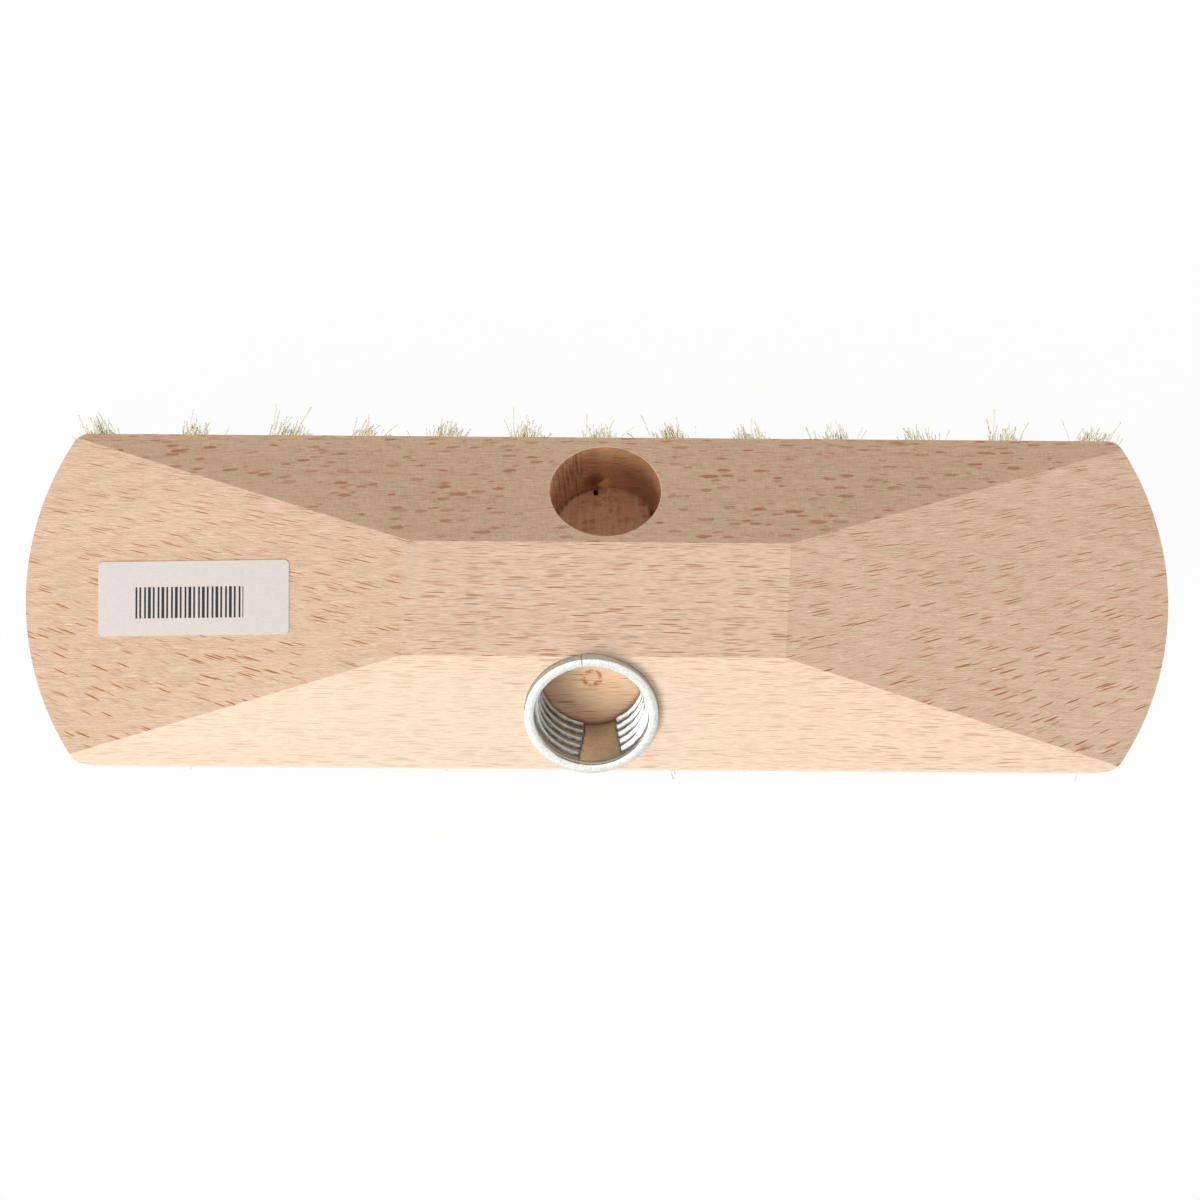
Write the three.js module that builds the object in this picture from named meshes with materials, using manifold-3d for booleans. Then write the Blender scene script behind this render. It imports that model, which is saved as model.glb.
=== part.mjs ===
// Floor scrub brush: a hipped beech block with two slanted handle sockets, a plain one and one lined
// with a rolled steel sleeve, above four rows of plant-fibre tufts that wire anchors hold in the wood.
// Millimetres, +Z up, +X along the block, -Y towards the sleeve, fibre tips on z = 0.
import * as THREE from "three";
import { mergeVertices } from "three/addons/utils/BufferGeometryUtils.js";
import Module from "manifold-3d";

// Block: plan outline and the heights of its top, long edges and rounded ends above the underside
const blockLength = 242;
const blockWidth = 70;
const blockHeight = 40;
const eaveHeight = 24.8;
const tipHeight = 23.7;
const endBulge = 11.3;
const cornerRadius = 4;

// Flat top, and how far each end facet is turned from square, in degrees
const plateauLength = 80;
const plateauWidth = 24;
const leftFacetSkew = 4;
const rightFacetSkew = 2.3;

// Plain tapered socket in the rear slope; wall is the wood left above the tuft holes
const plainMouthDiameter = 23.5;
const plainFloorDiameter = 21.5;
const plainSocketWall = 5.3;
const plainOffset = 1.6;
const plainRise = 0.4;

// Rolled sleeve in the front slope, its standout above the wood and the slit where its ends meet
const sleeveDiameter = 28.2;
const sleeveWall = 2;
const sleeveStandout = 1.85;
const sleeveRimChamfer = 0.45;
const sleeveSocketWall = 2.8;
const sleeveOffset = -1;
const sleeveRise = 0.2;
const seamGap = 0.3;
const seamAngle = 99;

// Paper label on the left end facet: its margin along the facet from the tip of the block's end, its offset
// from the facet's middle towards the front, and how crooked it is stuck on, in degrees
const labelLength = 41.5;
const labelWidth = 15.7;
const labelThickness = 0.2;
const labelCorner = 1;
const labelEndMargin = 16.1;
const labelOffset = 3.1;
const labelTurn = 0.5;

// Tuft rows: places on the underside, and leans in degrees at the block's edges
const tuftsPerRow = 13;
const outerRowInset = 8;
const innerRowOffset = 9;
const outerRowEndMargin = 16;
const innerRowEndMargin = 12;
const sideFlare = 13;
const endFlare = 6;
const rearSweep = 6;

// Tufts: drilled hole, wooden strip of the underside that they share, and fibre strands
const tuftHoleDiameter = 6.5;
const tuftHoleDepth = 10.5;
const stripLand = 1.5;
const stripThickness = 2.7;
const bristleLength = 38;
const trimDepth = 0.5;
const strandsPerTuft = 8;
const rootSpread = 2.05;
const tipSpread = 3.8;
const strandRootRadius = 0.72;
const strandTipRadius = 0.62;
const strandSink = 1;
const tuftTurn = 137.5;

// Flat wire anchor inside the fold of each tuft
const anchorHeight = 2.4;
const anchorThickness = 0.5;
const foldThickness = 1.2;

// Clearances between pieces, how far a cutter runs past a face, and facet counts
const fit = 0.3;
const paperBond = 0.2;
const overrun = 1;
const roundSides = 48;
const tuftSides = 6;
const strandSides = 3;
const arcSegments = 8;

// Materials
const beech = new THREE.MeshStandardMaterial({ color: 0xdcb795, roughness: 0.6, metalness: 0 });
const galvanised = new THREE.MeshStandardMaterial({ color: 0xc9cdc8, roughness: 0.35, metalness: 1 });
const wire = new THREE.MeshStandardMaterial({ color: 0xb9bcbd, roughness: 0.4, metalness: 1 });
const paper = new THREE.MeshStandardMaterial({ color: 0xe6ded8, roughness: 0.8, metalness: 0 });
const fibre = new THREE.MeshStandardMaterial({ color: 0xe3cfa0, roughness: 0.75, metalness: 0 });

const wasm = await Module();
wasm.setup();

const radians = THREE.MathUtils.degToRad;

// A closed geometry as a solid that can be joined and cut, optionally moved by a matrix first.
function solidOf(geometry, matrix = new THREE.Matrix4()) {
  const bare = geometry.clone();
  bare.deleteAttribute("normal");
  bare.deleteAttribute("uv");
  bare.applyMatrix4(matrix);
  const merged = mergeVertices(bare);
  return new wasm.Manifold(
    new wasm.Mesh({
      numProp: 3,
      vertProperties: merged.getAttribute("position").array,
      triVerts: new Uint32Array(merged.index.array),
    }),
  );
}

// A joined and cut solid back as a geometry.
function geometryOf(solid) {
  const { vertProperties, triVerts } = solid.getMesh();
  const geometry = new THREE.BufferGeometry();
  geometry.setAttribute("position", new THREE.BufferAttribute(vertProperties, 3));
  geometry.setIndex(new THREE.BufferAttribute(triVerts, 1));
  geometry.computeVertexNormals();
  return geometry;
}

function namedMesh(name, geometry, material) {
  const mesh = new THREE.Mesh(geometry, material);
  mesh.name = name;
  return mesh;
}

// A box that stands on z = 0, centred on the Z axis.
function standingBox(x, y, z) {
  return new THREE.BoxGeometry(x, y, z).translate(0, 0, z / 2);
}

// A round or tapered bar along +Z between two heights.
function bar(lowRadius, highRadius, low, high, sides) {
  const geometry = new THREE.CylinderGeometry(highRadius, lowRadius, high - low, sides);
  return geometry.rotateX(Math.PI / 2).translate(0, 0, (low + high) / 2);
}

// A slot outline along X with round ends, its end centres a span apart.
function slotShape(span, width) {
  const shape = new THREE.Shape();
  shape.absarc(span / 2, 0, width / 2, -Math.PI / 2, Math.PI / 2, false);
  shape.absarc(-span / 2, 0, width / 2, Math.PI / 2, (3 * Math.PI) / 2, false);
  return shape;
}

// A flat piece of a given outline between two heights.
function slab(shape, low, high, curveSegments) {
  const options = { depth: high - low, bevelEnabled: false, curveSegments };
  return new THREE.ExtrudeGeometry(shape, options).translate(0, 0, low);
}

// Faces of the block, each a group whose XY plane is the face and whose +Z points out of the wood
const sideSlope = Math.atan2(blockHeight - eaveHeight, (blockWidth - plateauWidth) / 2);
const endSlope = Math.atan2(blockHeight - tipHeight, (blockLength - plateauLength) / 2);
const facetLength = Math.hypot(blockHeight - tipHeight, (blockLength - plateauLength) / 2);

function sideFace(side) {
  const face = new THREE.Group();
  const middle = (side * (blockWidth + plateauWidth)) / 4;
  face.position.set(0, middle, (blockHeight + eaveHeight) / 2);
  face.rotation.x = -side * sideSlope;
  return face;
}

function endFace(side, heading) {
  const face = new THREE.Group();
  face.position.set((side * plateauLength) / 2, 0, blockHeight);
  face.rotation.set(0, endSlope, heading, "ZYX");
  return face;
}

const brush = new THREE.Group();
const rearSlope = sideFace(1);
const frontSlope = sideFace(-1);
const rightFacet = endFace(1, -radians(rightFacetSkew));
const leftFacet = endFace(-1, Math.PI - radians(leftFacetSkew));

// Seats of the two sockets, on their slopes
const plainSeat = new THREE.Group();
plainSeat.position.set(plainOffset, -plainRise, 0);
rearSlope.add(plainSeat);
const sleeveSeat = new THREE.Group();
sleeveSeat.position.set(sleeveOffset, sleeveRise, 0);
frontSlope.add(sleeveSeat);
brush.add(rearSlope, frontSlope, rightFacet, leftFacet);
brush.updateMatrixWorld(true);

// A socket goes in until the lowest edge of its floor is one wall above the tuft holes.
function socketDepth(seat, floorRadius, wall) {
  const mouthHeight = seat.getWorldPosition(new THREE.Vector3()).z;
  const lowestFloor = tuftHoleDepth + wall + floorRadius * Math.sin(sideSlope);
  return (mouthHeight - lowestFloor) / Math.cos(sideSlope);
}

const sleeveHoleRadius = sleeveDiameter / 2 + fit;
const plainDepth = socketDepth(plainSeat, plainFloorDiameter / 2, plainSocketWall);
const sleeveDepth = socketDepth(sleeveSeat, sleeveHoleRadius, sleeveSocketWall);

// Tuft rows from front to rear
const outerRowPlace = blockWidth / 2 - outerRowInset;
const outerRowSpan = blockLength - 2 * outerRowEndMargin;
const innerRowSpan = blockLength - 2 * innerRowEndMargin;
const rows = [
  { name: "front_outer_tufts", y: -outerRowPlace, span: outerRowSpan },
  { name: "front_inner_tufts", y: -innerRowOffset, span: innerRowSpan },
  { name: "rear_inner_tufts", y: innerRowOffset, span: innerRowSpan },
  { name: "rear_outer_tufts", y: outerRowPlace, span: outerRowSpan },
];

// A tuft's frame: its origin on the underside and +Z up its hole, with its leans beside it.
function tuftAt(row, index) {
  const x = row.span * (index / (tuftsPerRow - 1) - 0.5);
  const leanX = Math.tan(radians((endFlare * x) / (blockLength / 2)));
  const leanY = Math.tan(radians(rearSweep + (sideFlare * row.y) / (blockWidth / 2)));
  const up = new THREE.Vector3(-leanX, -leanY, 1).normalize();
  const along = new THREE.Vector3(1, 0, 0).addScaledVector(up, -up.x).normalize();
  const across = new THREE.Vector3().crossVectors(up, along);
  const matrix = new THREE.Matrix4().makeBasis(along, across, up).setPosition(x, row.y, 0);
  return { x, y: row.y, leanX, leanY, matrix, turn: radians(tuftTurn * index) };
}

for (const row of rows) {
  row.tufts = Array.from({ length: tuftsPerRow }, (_, index) => tuftAt(row, index));
}
const tuftHoleRadius = tuftHoleDiameter / 2;
const tuftRootRadius = tuftHoleRadius - fit;
const stripWidth = tuftHoleDiameter + 2 * stripLand;
const anchorMiddle = tuftHoleDepth - fit - foldThickness - fit - anchorHeight / 2;

// Plan outline: straight long sides, bulged ends and rounded corners
function blockOutline() {
  const halfWidth = blockWidth / 2;
  const endRadius = (endBulge ** 2 + halfWidth ** 2) / (2 * endBulge);
  const endCentre = blockLength / 2 - endRadius;
  const cornerY = halfWidth - cornerRadius;
  const cornerX = endCentre + Math.sqrt((endRadius - cornerRadius) ** 2 - cornerY ** 2);
  const sweep = Math.atan2(cornerY, cornerX - endCentre);
  const quarter = Math.PI / 2;
  const shape = new THREE.Shape();
  shape.absarc(cornerX, -cornerY, cornerRadius, -quarter, -sweep, false);
  shape.absarc(endCentre, 0, endRadius, -sweep, sweep, false);
  shape.absarc(cornerX, cornerY, cornerRadius, sweep, quarter, false);
  shape.absarc(-cornerX, cornerY, cornerRadius, quarter, Math.PI - sweep, false);
  shape.absarc(-endCentre, 0, endRadius, Math.PI - sweep, Math.PI + sweep, false);
  shape.absarc(-cornerX, -cornerY, cornerRadius, Math.PI + sweep, 3 * quarter, false);
  return shape;
}

// Block: the outline raised to full height, planed on four sides, bored and drilled
function woodBlock() {
  let wood = solidOf(slab(blockOutline(), 0, blockHeight, arcSegments));
  const planed = standingBox(2 * blockLength, 2 * blockLength, 2 * blockHeight);
  for (const face of [rearSlope, frontSlope, rightFacet, leftFacet]) {
    wood = wood.subtract(solidOf(planed, face.matrixWorld));
  }
  const mouthRadius = plainMouthDiameter / 2;
  const floorRadius = plainFloorDiameter / 2;
  const outerRadius = mouthRadius + ((mouthRadius - floorRadius) * overrun) / plainDepth;
  const plainBore = bar(floorRadius, outerRadius, -plainDepth, overrun, roundSides);
  wood = wood.subtract(solidOf(plainBore, plainSeat.matrixWorld));
  const sleeveBore = bar(sleeveHoleRadius, sleeveHoleRadius, -sleeveDepth, overrun, roundSides);
  wood = wood.subtract(solidOf(sleeveBore, sleeveSeat.matrixWorld));
  const hole = bar(tuftHoleRadius, tuftHoleRadius, -overrun, tuftHoleDepth, tuftSides);
  for (const row of rows) {
    const groove = slotShape(row.span, stripWidth + 2 * fit);
    const groovePlace = new THREE.Matrix4().makeTranslation(0, row.y, 0);
    wood = wood.subtract(solidOf(slab(groove, -overrun, stripThickness + fit, arcSegments), groovePlace));
    for (const tuft of row.tufts) {
      wood = wood.subtract(solidOf(hole, tuft.matrix));
    }
  }
  return geometryOf(wood);
}

// Sleeve: a ring with eased rims, slit where the two ends of the rolled strip meet
function threadedSleeve() {
  const outer = sleeveDiameter / 2;
  const inner = outer - sleeveWall;
  const low = fit - sleeveDepth;
  const high = sleeveStandout;
  const profile = [
    new THREE.Vector2(inner, low),
    new THREE.Vector2(outer, low),
    new THREE.Vector2(outer, high - sleeveRimChamfer),
    new THREE.Vector2(outer - sleeveRimChamfer, high),
    new THREE.Vector2(inner + sleeveRimChamfer, high),
    new THREE.Vector2(inner, high - sleeveRimChamfer),
    new THREE.Vector2(inner, low),
  ];
  const ring = new THREE.LatheGeometry(profile, roundSides).rotateX(Math.PI / 2);
  const slit = new THREE.BoxGeometry(2 * outer, seamGap, 2 * (high - low));
  slit.translate(outer, 0, 0).rotateZ(radians(seamAngle));
  return geometryOf(solidOf(ring).subtract(solidOf(slit)));
}

// Label: a sheet with rounded corners
function labelSheet() {
  const x = labelLength / 2 - labelCorner;
  const y = labelWidth / 2 - labelCorner;
  const shape = new THREE.Shape();
  shape.absarc(x, -y, labelCorner, -Math.PI / 2, 0, false);
  shape.absarc(x, y, labelCorner, 0, Math.PI / 2, false);
  shape.absarc(-x, y, labelCorner, Math.PI / 2, Math.PI, false);
  shape.absarc(-x, -y, labelCorner, Math.PI, (3 * Math.PI) / 2, false);
  return slab(shape, 0, labelThickness, arcSegments / 4);
}

// Root of a tuft: the folded bundle that fills its hole, with a window for the anchor under the fold
function tuftRoot(tuft) {
  const plug = bar(tuftRootRadius, tuftRootRadius, strandSink, tuftHoleDepth - fit, tuftSides);
  const window = new THREE.BoxGeometry(
    tuftHoleDiameter,
    anchorThickness + 2 * fit,
    anchorHeight + 2 * fit,
  );
  window.translate(0, 0, anchorMiddle);
  return solidOf(plug, tuft.matrix).subtract(solidOf(window, tuft.matrix));
}

// One strand, spreading from its place in the root to its place at the tip, just past the trimmed end
function strand(tuft, turn, place) {
  const reach = bristleLength + trimDepth;
  const aside = new THREE.Vector3(Math.cos(turn), Math.sin(turn), 0).multiplyScalar(place);
  const root = new THREE.Vector3(tuft.x, tuft.y, strandSink).addScaledVector(aside, rootSpread);
  const tip = new THREE.Vector3(tuft.x + tuft.leanX * reach, tuft.y + tuft.leanY * reach, -reach);
  tip.addScaledVector(aside, tipSpread);
  const direction = new THREE.Vector3().subVectors(root, tip);
  const length = direction.length();
  const rod = bar(strandTipRadius, strandRootRadius, 0, length, strandSides).rotateZ(turn);
  const turned = new THREE.Quaternion().setFromUnitVectors(
    new THREE.Vector3(0, 0, 1),
    direction.normalize(),
  );
  return solidOf(rod, new THREE.Matrix4().makeRotationFromQuaternion(turned).setPosition(tip));
}

// Row of tufts: a strip of the underside with every root and strand grown on it, trimmed level
function tuftRow(row) {
  const stripPlace = new THREE.Matrix4().makeTranslation(0, row.y, 0);
  let fused = solidOf(slab(slotShape(row.span, stripWidth), 0, stripThickness, arcSegments / 2), stripPlace);
  for (const tuft of row.tufts) {
    fused = fused.add(tuftRoot(tuft));
    fused = fused.add(strand(tuft, tuft.turn, 0));
    for (let index = 1; index < strandsPerTuft; index += 1) {
      const turn = tuft.turn + (2 * Math.PI * index) / (strandsPerTuft - 1);
      fused = fused.add(strand(tuft, turn, 1));
    }
  }
  const floor = standingBox(2 * blockLength, 2 * blockLength, bristleLength);
  floor.translate(0, 0, -2 * bristleLength);
  return geometryOf(fused.subtract(solidOf(floor)));
}

// Assembly
brush.add(namedMesh("wood_block", woodBlock(), beech));
sleeveSeat.add(namedMesh("threaded_sleeve", threadedSleeve(), galvanised));

const label = namedMesh("paper_label", labelSheet(), paper);
label.position.set(facetLength - labelEndMargin - labelLength / 2, labelOffset, paperBond);
label.rotation.z = radians(labelTurn + leftFacetSkew);
leftFacet.add(label);

const anchorLength = 2 * (tuftHoleRadius * Math.cos(Math.PI / tuftSides) - fit);
let anchorCount = 0;
for (const row of rows) {
  brush.add(namedMesh(row.name, tuftRow(row), fibre));
  for (const tuft of row.tufts) {
    anchorCount += 1;
    const name = `tuft_anchor_${String(anchorCount).padStart(2, "0")}`;
    const strap = new THREE.BoxGeometry(anchorLength, anchorThickness, anchorHeight);
    const anchor = namedMesh(name, strap, wire);
    const seat = new THREE.Group();
    seat.applyMatrix4(tuft.matrix);
    anchor.position.z = anchorMiddle;
    seat.add(anchor);
    brush.add(seat);
  }
}

// The brush stands on its fibre tips, centred over the origin.
const box = new THREE.Box3().setFromObject(brush, true);
const middle = box.getCenter(new THREE.Vector3());
brush.position.set(-middle.x, -middle.y, -box.min.z);

const part = new THREE.Group();
part.add(brush);
export default part;
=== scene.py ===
"""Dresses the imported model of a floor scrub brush.

Its pieces are a beech block, a rolled steel sleeve, a paper label, fibre tufts and the wire anchors in their holes.
"""

import bpy
import numpy as np
from bpy.props import FloatProperty, FloatVectorProperty, IntProperty, PointerProperty
from bpy.types import NodeSocket, Operator, Panel, PropertyGroup
from mathutils import Matrix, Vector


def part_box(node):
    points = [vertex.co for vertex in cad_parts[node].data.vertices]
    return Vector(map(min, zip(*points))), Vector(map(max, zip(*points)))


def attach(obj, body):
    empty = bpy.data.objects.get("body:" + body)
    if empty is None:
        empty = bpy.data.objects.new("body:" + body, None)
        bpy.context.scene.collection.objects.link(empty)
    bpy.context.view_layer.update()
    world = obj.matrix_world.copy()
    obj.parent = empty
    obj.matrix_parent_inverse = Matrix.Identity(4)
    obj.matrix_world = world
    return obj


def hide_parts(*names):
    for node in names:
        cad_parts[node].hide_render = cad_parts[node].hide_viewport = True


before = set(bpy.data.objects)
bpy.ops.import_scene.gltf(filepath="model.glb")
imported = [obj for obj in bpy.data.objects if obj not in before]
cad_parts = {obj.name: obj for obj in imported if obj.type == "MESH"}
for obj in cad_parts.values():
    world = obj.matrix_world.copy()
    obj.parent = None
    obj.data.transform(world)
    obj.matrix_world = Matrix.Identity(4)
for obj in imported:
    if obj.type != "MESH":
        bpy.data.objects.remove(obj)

bl_info = {
    "name": "Floor Scrub Brush",
    "version": (1, 0, 0),
    "blender": (4, 5, 0),
    "location": "View3D > Sidebar > Brush",
    "description": "Builds a beech floor scrub brush head with its steel sleeve, label and fibre tufts",
    "category": "Object",
}

MM = 0.001
X_AXIS, Y_AXIS, Z_AXIS = np.eye(3)
ROW_NAMES = ("front_outer_tufts", "front_inner_tufts", "rear_inner_tufts", "rear_outer_tufts")
PICTURE_WIDTH = 1200
SENSOR_WIDTH = 36.0

# Points along each corner and each end of the block, and sides of the bores, the tuft holes and the drill's pit
CORNER_STEPS, END_STEPS = 14, 64
BORE_SIDES, HOLE_SIDES, PIT_SIDES = 96, 22, 14

# How far a cutter runs past the face that it cuts, and the sanded edge of the plain socket
CUT_PAST = MM
MOUTH_EASING = 0.1 * MM

# The drill's pit in the plain socket: along the block and down the slope from the axis, how far it runs past the
# floor, and its radius at the tuft hole and at the tip
PIT_ALONG, PIT_DOWN, PIT_PAST = -2.0 * MM, 9.3 * MM, 1.2 * MM
PIT_RADII = (1.5 * MM, 0.42 * MM)

# Depth and width of the groove, the bead and the painted shadow line under the sleeve's lip, and how deep groove and
# lip are; the groove is also painted in shade
GROOVE, BEAD, UNDER_BEAD = (0.52 * MM, 0.2 * MM), (1.0 * MM, 0.22 * MM), (1.5 * MM, 0.2 * MM)
GROOVE_DEPTH, LIP_DEPTH = 0.25 * MM, 0.20 * MM

# The sleeve's eased rim, its gap to the floor of the bore, and the points round it
RIM_EASING, SLEEVE_LIFT, SLEEVE_STEPS = 0.14 * MM, 0.3 * MM, 241

# The thread: depths over which its ribs fade in and its flat part narrows, and the turn over which its ribs wear
# lower and are painted in shade
RIB_FADE = (1.5 * MM, 2.5 * MM)
THREAD_TOP, FLARE_LENGTH = 2 * MM, 10 * MM
WORN_AND_SHADED_TURN = np.radians((215.0, 285.0))

# Fibres: points along and around each, the part inside the hole, and how far the tips lie loose, the middles bow,
# the ends curl and whole tufts sway
FIBRE_RINGS, FIBRE_SIDES = 7, 3
FIBRE_INSIDE = 3 * MM
TIP_LOOSENESS, FIBRE_BOW, TIP_CURL, TUFT_SWAY = 0.55 * MM, 0.55 * MM, 0.7 * MM, 0.5 * MM

# How far each tip of the rear outer row has set from its straight place, left to right: along and to the rear, mm
REAR_TIP_SET = (
    (-2.5, -0.8), (1.2, -0.6), (4.0, 0.1), (4.4, -0.1), (2.5, 0.2), (1.9, -0.5), (0.6, 0.1),
    (-2.7, 0.5), (-1.7, 0.2), (-2.3, -0.6), (-0.4, 0.1), (0.6, 0.0), (2.5, -0.1),
)

# Faces larger than this, in square metres, stay flat beside smooth ones
BROAD_FACE = 60 * MM * MM

# The pith that the beech grew round, in millimetres, and the length that one radian round it counts for
PITH_Y, PITH_Z, RAY_LENGTH = 56.8, 23.0, 80.0
BEECH_TONES = ("Pale", "Dark", "Fleck", "Ray", "Sap")
TO_MILLIMETRES = (1000.0, 1000.0, 1000.0)
# Share of the zinc colour kept where the coat is dull, which also paints shade between the ribs
DULL_AND_SHADED_ZINC = (0.51, 0.54, 0.59)
WHITE = (1.0, 1.0, 1.0, 1.0)

# The label's bars: their spacing and the length of their rhythm, and the edges of their field, in millimetres
BAR_SPACING, BAR_RHYTHM = 0.98, 2.94
FIELD_LEFT, FIELD_RIGHT, FIELD_LOW, FIELD_HIGH = -12.6, 10.9, -4.2, 2.4

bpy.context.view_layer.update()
block_low, block_high = (np.array(corner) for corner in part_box("wood_block"))
block_size = block_high - block_low
block_seat = np.array([0.0, (block_low[1] + block_high[1]) / 2, block_low[2]])
anchor_names = sorted(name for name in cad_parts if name.startswith("tuft_anchor_"))


def length_prop(name, description, default):
    """A length in metres for the sidebar."""
    kind = {"unit": "LENGTH", "subtype": "DISTANCE", "precision": 5}
    return FloatProperty(name=name, description=description, default=float(default), **kind)


def angle_prop(name, description, degrees):
    """An angle for the sidebar, given here in degrees."""
    kind = {"unit": "ROTATION", "subtype": "ANGLE"}
    return FloatProperty(name=name, description=description, default=float(np.radians(degrees)), **kind)


def number_prop(name, description, default, **kind):
    """A plain number for the sidebar."""
    return FloatProperty(name=name, description=description, default=default, **kind)


def count_prop(name, description, default, **limits):
    """A whole number for the sidebar."""
    return IntProperty(name=name, description=description, default=default, **limits)


def colour_prop(name, description, srgb):
    """A colour for the sidebar, given here as screen values from 0 to 255 and kept as linear light."""
    screen = np.array(srgb) / 255
    linear = np.where(screen <= 0.04045, screen / 12.92, ((screen + 0.055) / 1.055) ** 2.4)
    kind = {"size": 3, "subtype": "COLOR", "min": 0.0, "max": 1.0}
    return FloatVectorProperty(name=name, description=description, default=tuple(linear), **kind)


class BlockSizes(PropertyGroup):
    """Sizes of the hipped beech block and its two sockets."""

    length: length_prop("Length", "Length over the two bulged ends", block_size[0])
    width: length_prop("Width", "Width over the long sides", block_size[1])
    height: length_prop("Height", "Underside to flat top", block_size[2])
    eave: length_prop("Eave height", "Height of the long edges", 0.0248)
    tip: length_prop("Tip height", "Height of the end facets at the tips", 0.0237)
    bulge: length_prop("End bulge", "How far the ends bow out", 0.0113)
    corner: length_prop("Corner radius", "Rounding of the outline's four corners", 0.004)
    flat_length: length_prop("Flat length", "Length of the flat top", 0.080)
    flat_width: length_prop("Flat width", "Width of the flat top", 0.024)
    left_skew: angle_prop("Left skew", "How far the left facet is turned from square", 4.0)
    right_skew: angle_prop("Right skew", "How far the right facet is turned from square", 2.3)
    easing: length_prop("Eased edges", "Width that sanding takes off the edges", 0.00028)
    plain_mouth: length_prop("Plain mouth", "Diameter of the plain socket at its mouth", 0.0235)
    plain_floor: length_prop("Plain floor", "Diameter of the plain socket at its floor", 0.0215)
    plain_depth: length_prop("Plain depth", "Depth of the plain socket along its axis", 0.01306)
    plain_offset: length_prop("Plain offset", "Plain socket from the middle of its slope", 0.0016)
    plain_rise: length_prop("Plain rise", "Plain socket up its slope from the middle", 0.0004)
    sleeve_depth: length_prop("Sleeve socket depth", "Depth of the bore for the sleeve", 0.01351)
    sleeve_offset: length_prop("Sleeve offset", "Sleeve from the middle of its slope", -0.001)
    sleeve_rise: length_prop("Sleeve rise", "Sleeve up its slope from the middle", 0.0002)


class SleeveSizes(PropertyGroup):
    """Sizes of the rolled steel sleeve and its pressed thread."""

    diameter: length_prop("Diameter", "Outer diameter of the sleeve", 0.0282)
    wall: length_prop("Wall", "Thickness of the rolled strip with its thread", 0.002)
    standout: length_prop("Standout", "How far the rim stands out of the wood", 0.00185)
    clearance: length_prop("Clearance", "Gap between the sleeve and its bore", 0.00006)
    seam: length_prop("Seam", "Gap where the ends of the strip meet", 0.00014)
    seam_place: angle_prop("Seam place", "Where the seam is, from the right end of the block", 99.0)
    pitch: length_prop("Thread pitch", "Distance from rib to rib", 0.0028)
    rib_height: length_prop("Rib height", "How far the ribs stand in", 0.001)
    rib_width: length_prop("Rib width", "Width of a rib at its foot", 0.0012)
    first_rib: length_prop("First rib", "Depth of the first rib where it begins", 0.0032)
    rib_start: angle_prop("Rib start", "Where the ribs begin at the bottom", 296.2)
    rib_sweep: angle_prop("Rib sweep", "How far round the ribs run at the bottom", 326.5)
    flat_flare: angle_prop("Flat flare", "How much the unthreaded part widens at each side to the top", 5.4)
    taper: length_prop("Taper", "How much the radius inside narrows to the bottom", 0.0008)


class LabelSizes(PropertyGroup):
    """Sizes of the paper label."""

    length: length_prop("Length", "Length of the label", 0.0415)
    width: length_prop("Width", "Width of the label", 0.0157)
    thickness: length_prop("Thickness", "Thickness of the paper", 0.00013)
    corner: length_prop("Corner radius", "Rounding of the corners", 0.001)
    end_margin: length_prop("End margin", "From the tip of the block to the label", 0.0161)
    offset: length_prop("Offset", "From the middle of the facet towards the front", 0.0031)
    turn: angle_prop("Turn", "How far it is stuck on crooked", 0.5)


class TuftSizes(PropertyGroup):
    """Places of the tufts and sizes of their fibres."""

    per_row: count_prop("Tufts in a row", "Tufts in each of the four rows", 13, min=2)
    outer_inset: length_prop("Outer inset", "Outer rows in from the long sides", 0.008)
    inner_offset: length_prop("Inner offset", "Inner rows from the middle", 0.009)
    outer_margin: length_prop("Outer margin", "First tuft of an outer row from the tip", 0.016)
    inner_margin: length_prop("Inner margin", "First tuft of an inner row from the tip", 0.012)
    side_flare: angle_prop("Side flare", "Lean of the tufts at the long edges", 13.0)
    end_flare: angle_prop("End flare", "Lean of the tufts at the tips", 6.0)
    rear_sweep: angle_prop("Rear sweep", "Lean of all tufts to the rear", 6.0)
    hole: length_prop("Hole", "Diameter of the tuft holes", 0.0065)
    hole_depth: length_prop("Hole depth", "Depth of the tuft holes", 0.0105)
    fibre_length: length_prop("Fibre length", "Underside to floor", block_low[2])
    fibres: count_prop("Fibres", "Fibre ends in a tuft", 190, min=10)
    root_spread: length_prop("Root spread", "Radius of the bundle in its hole", 0.0029)
    tip_spread: length_prop("Tip spread", "Radius of the bundle at its tips", 0.0038)
    thickness: length_prop("Fibre thickness", "Mean thickness of a fibre", 0.00036)
    rear_set: length_prop("Rear set", "How far use has pushed the tips to the rear", 0.0009)
    strays: number_prop(
        "Strays", "Share of fibres that spring out", 0.08, min=0.0, max=1.0, subtype="FACTOR", precision=3
    )
    seed: count_prop("Seed", "Changes how the fibres lie", 7)
    anchor_height: length_prop("Anchor height", "Height of the flat wire", 0.0024)
    anchor_thickness: length_prop("Anchor thickness", "Thickness of the flat wire", 0.0005)
    fold: length_prop("Fold", "Fibre that is folded over the anchor, with its clearances", 0.0018)


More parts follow.
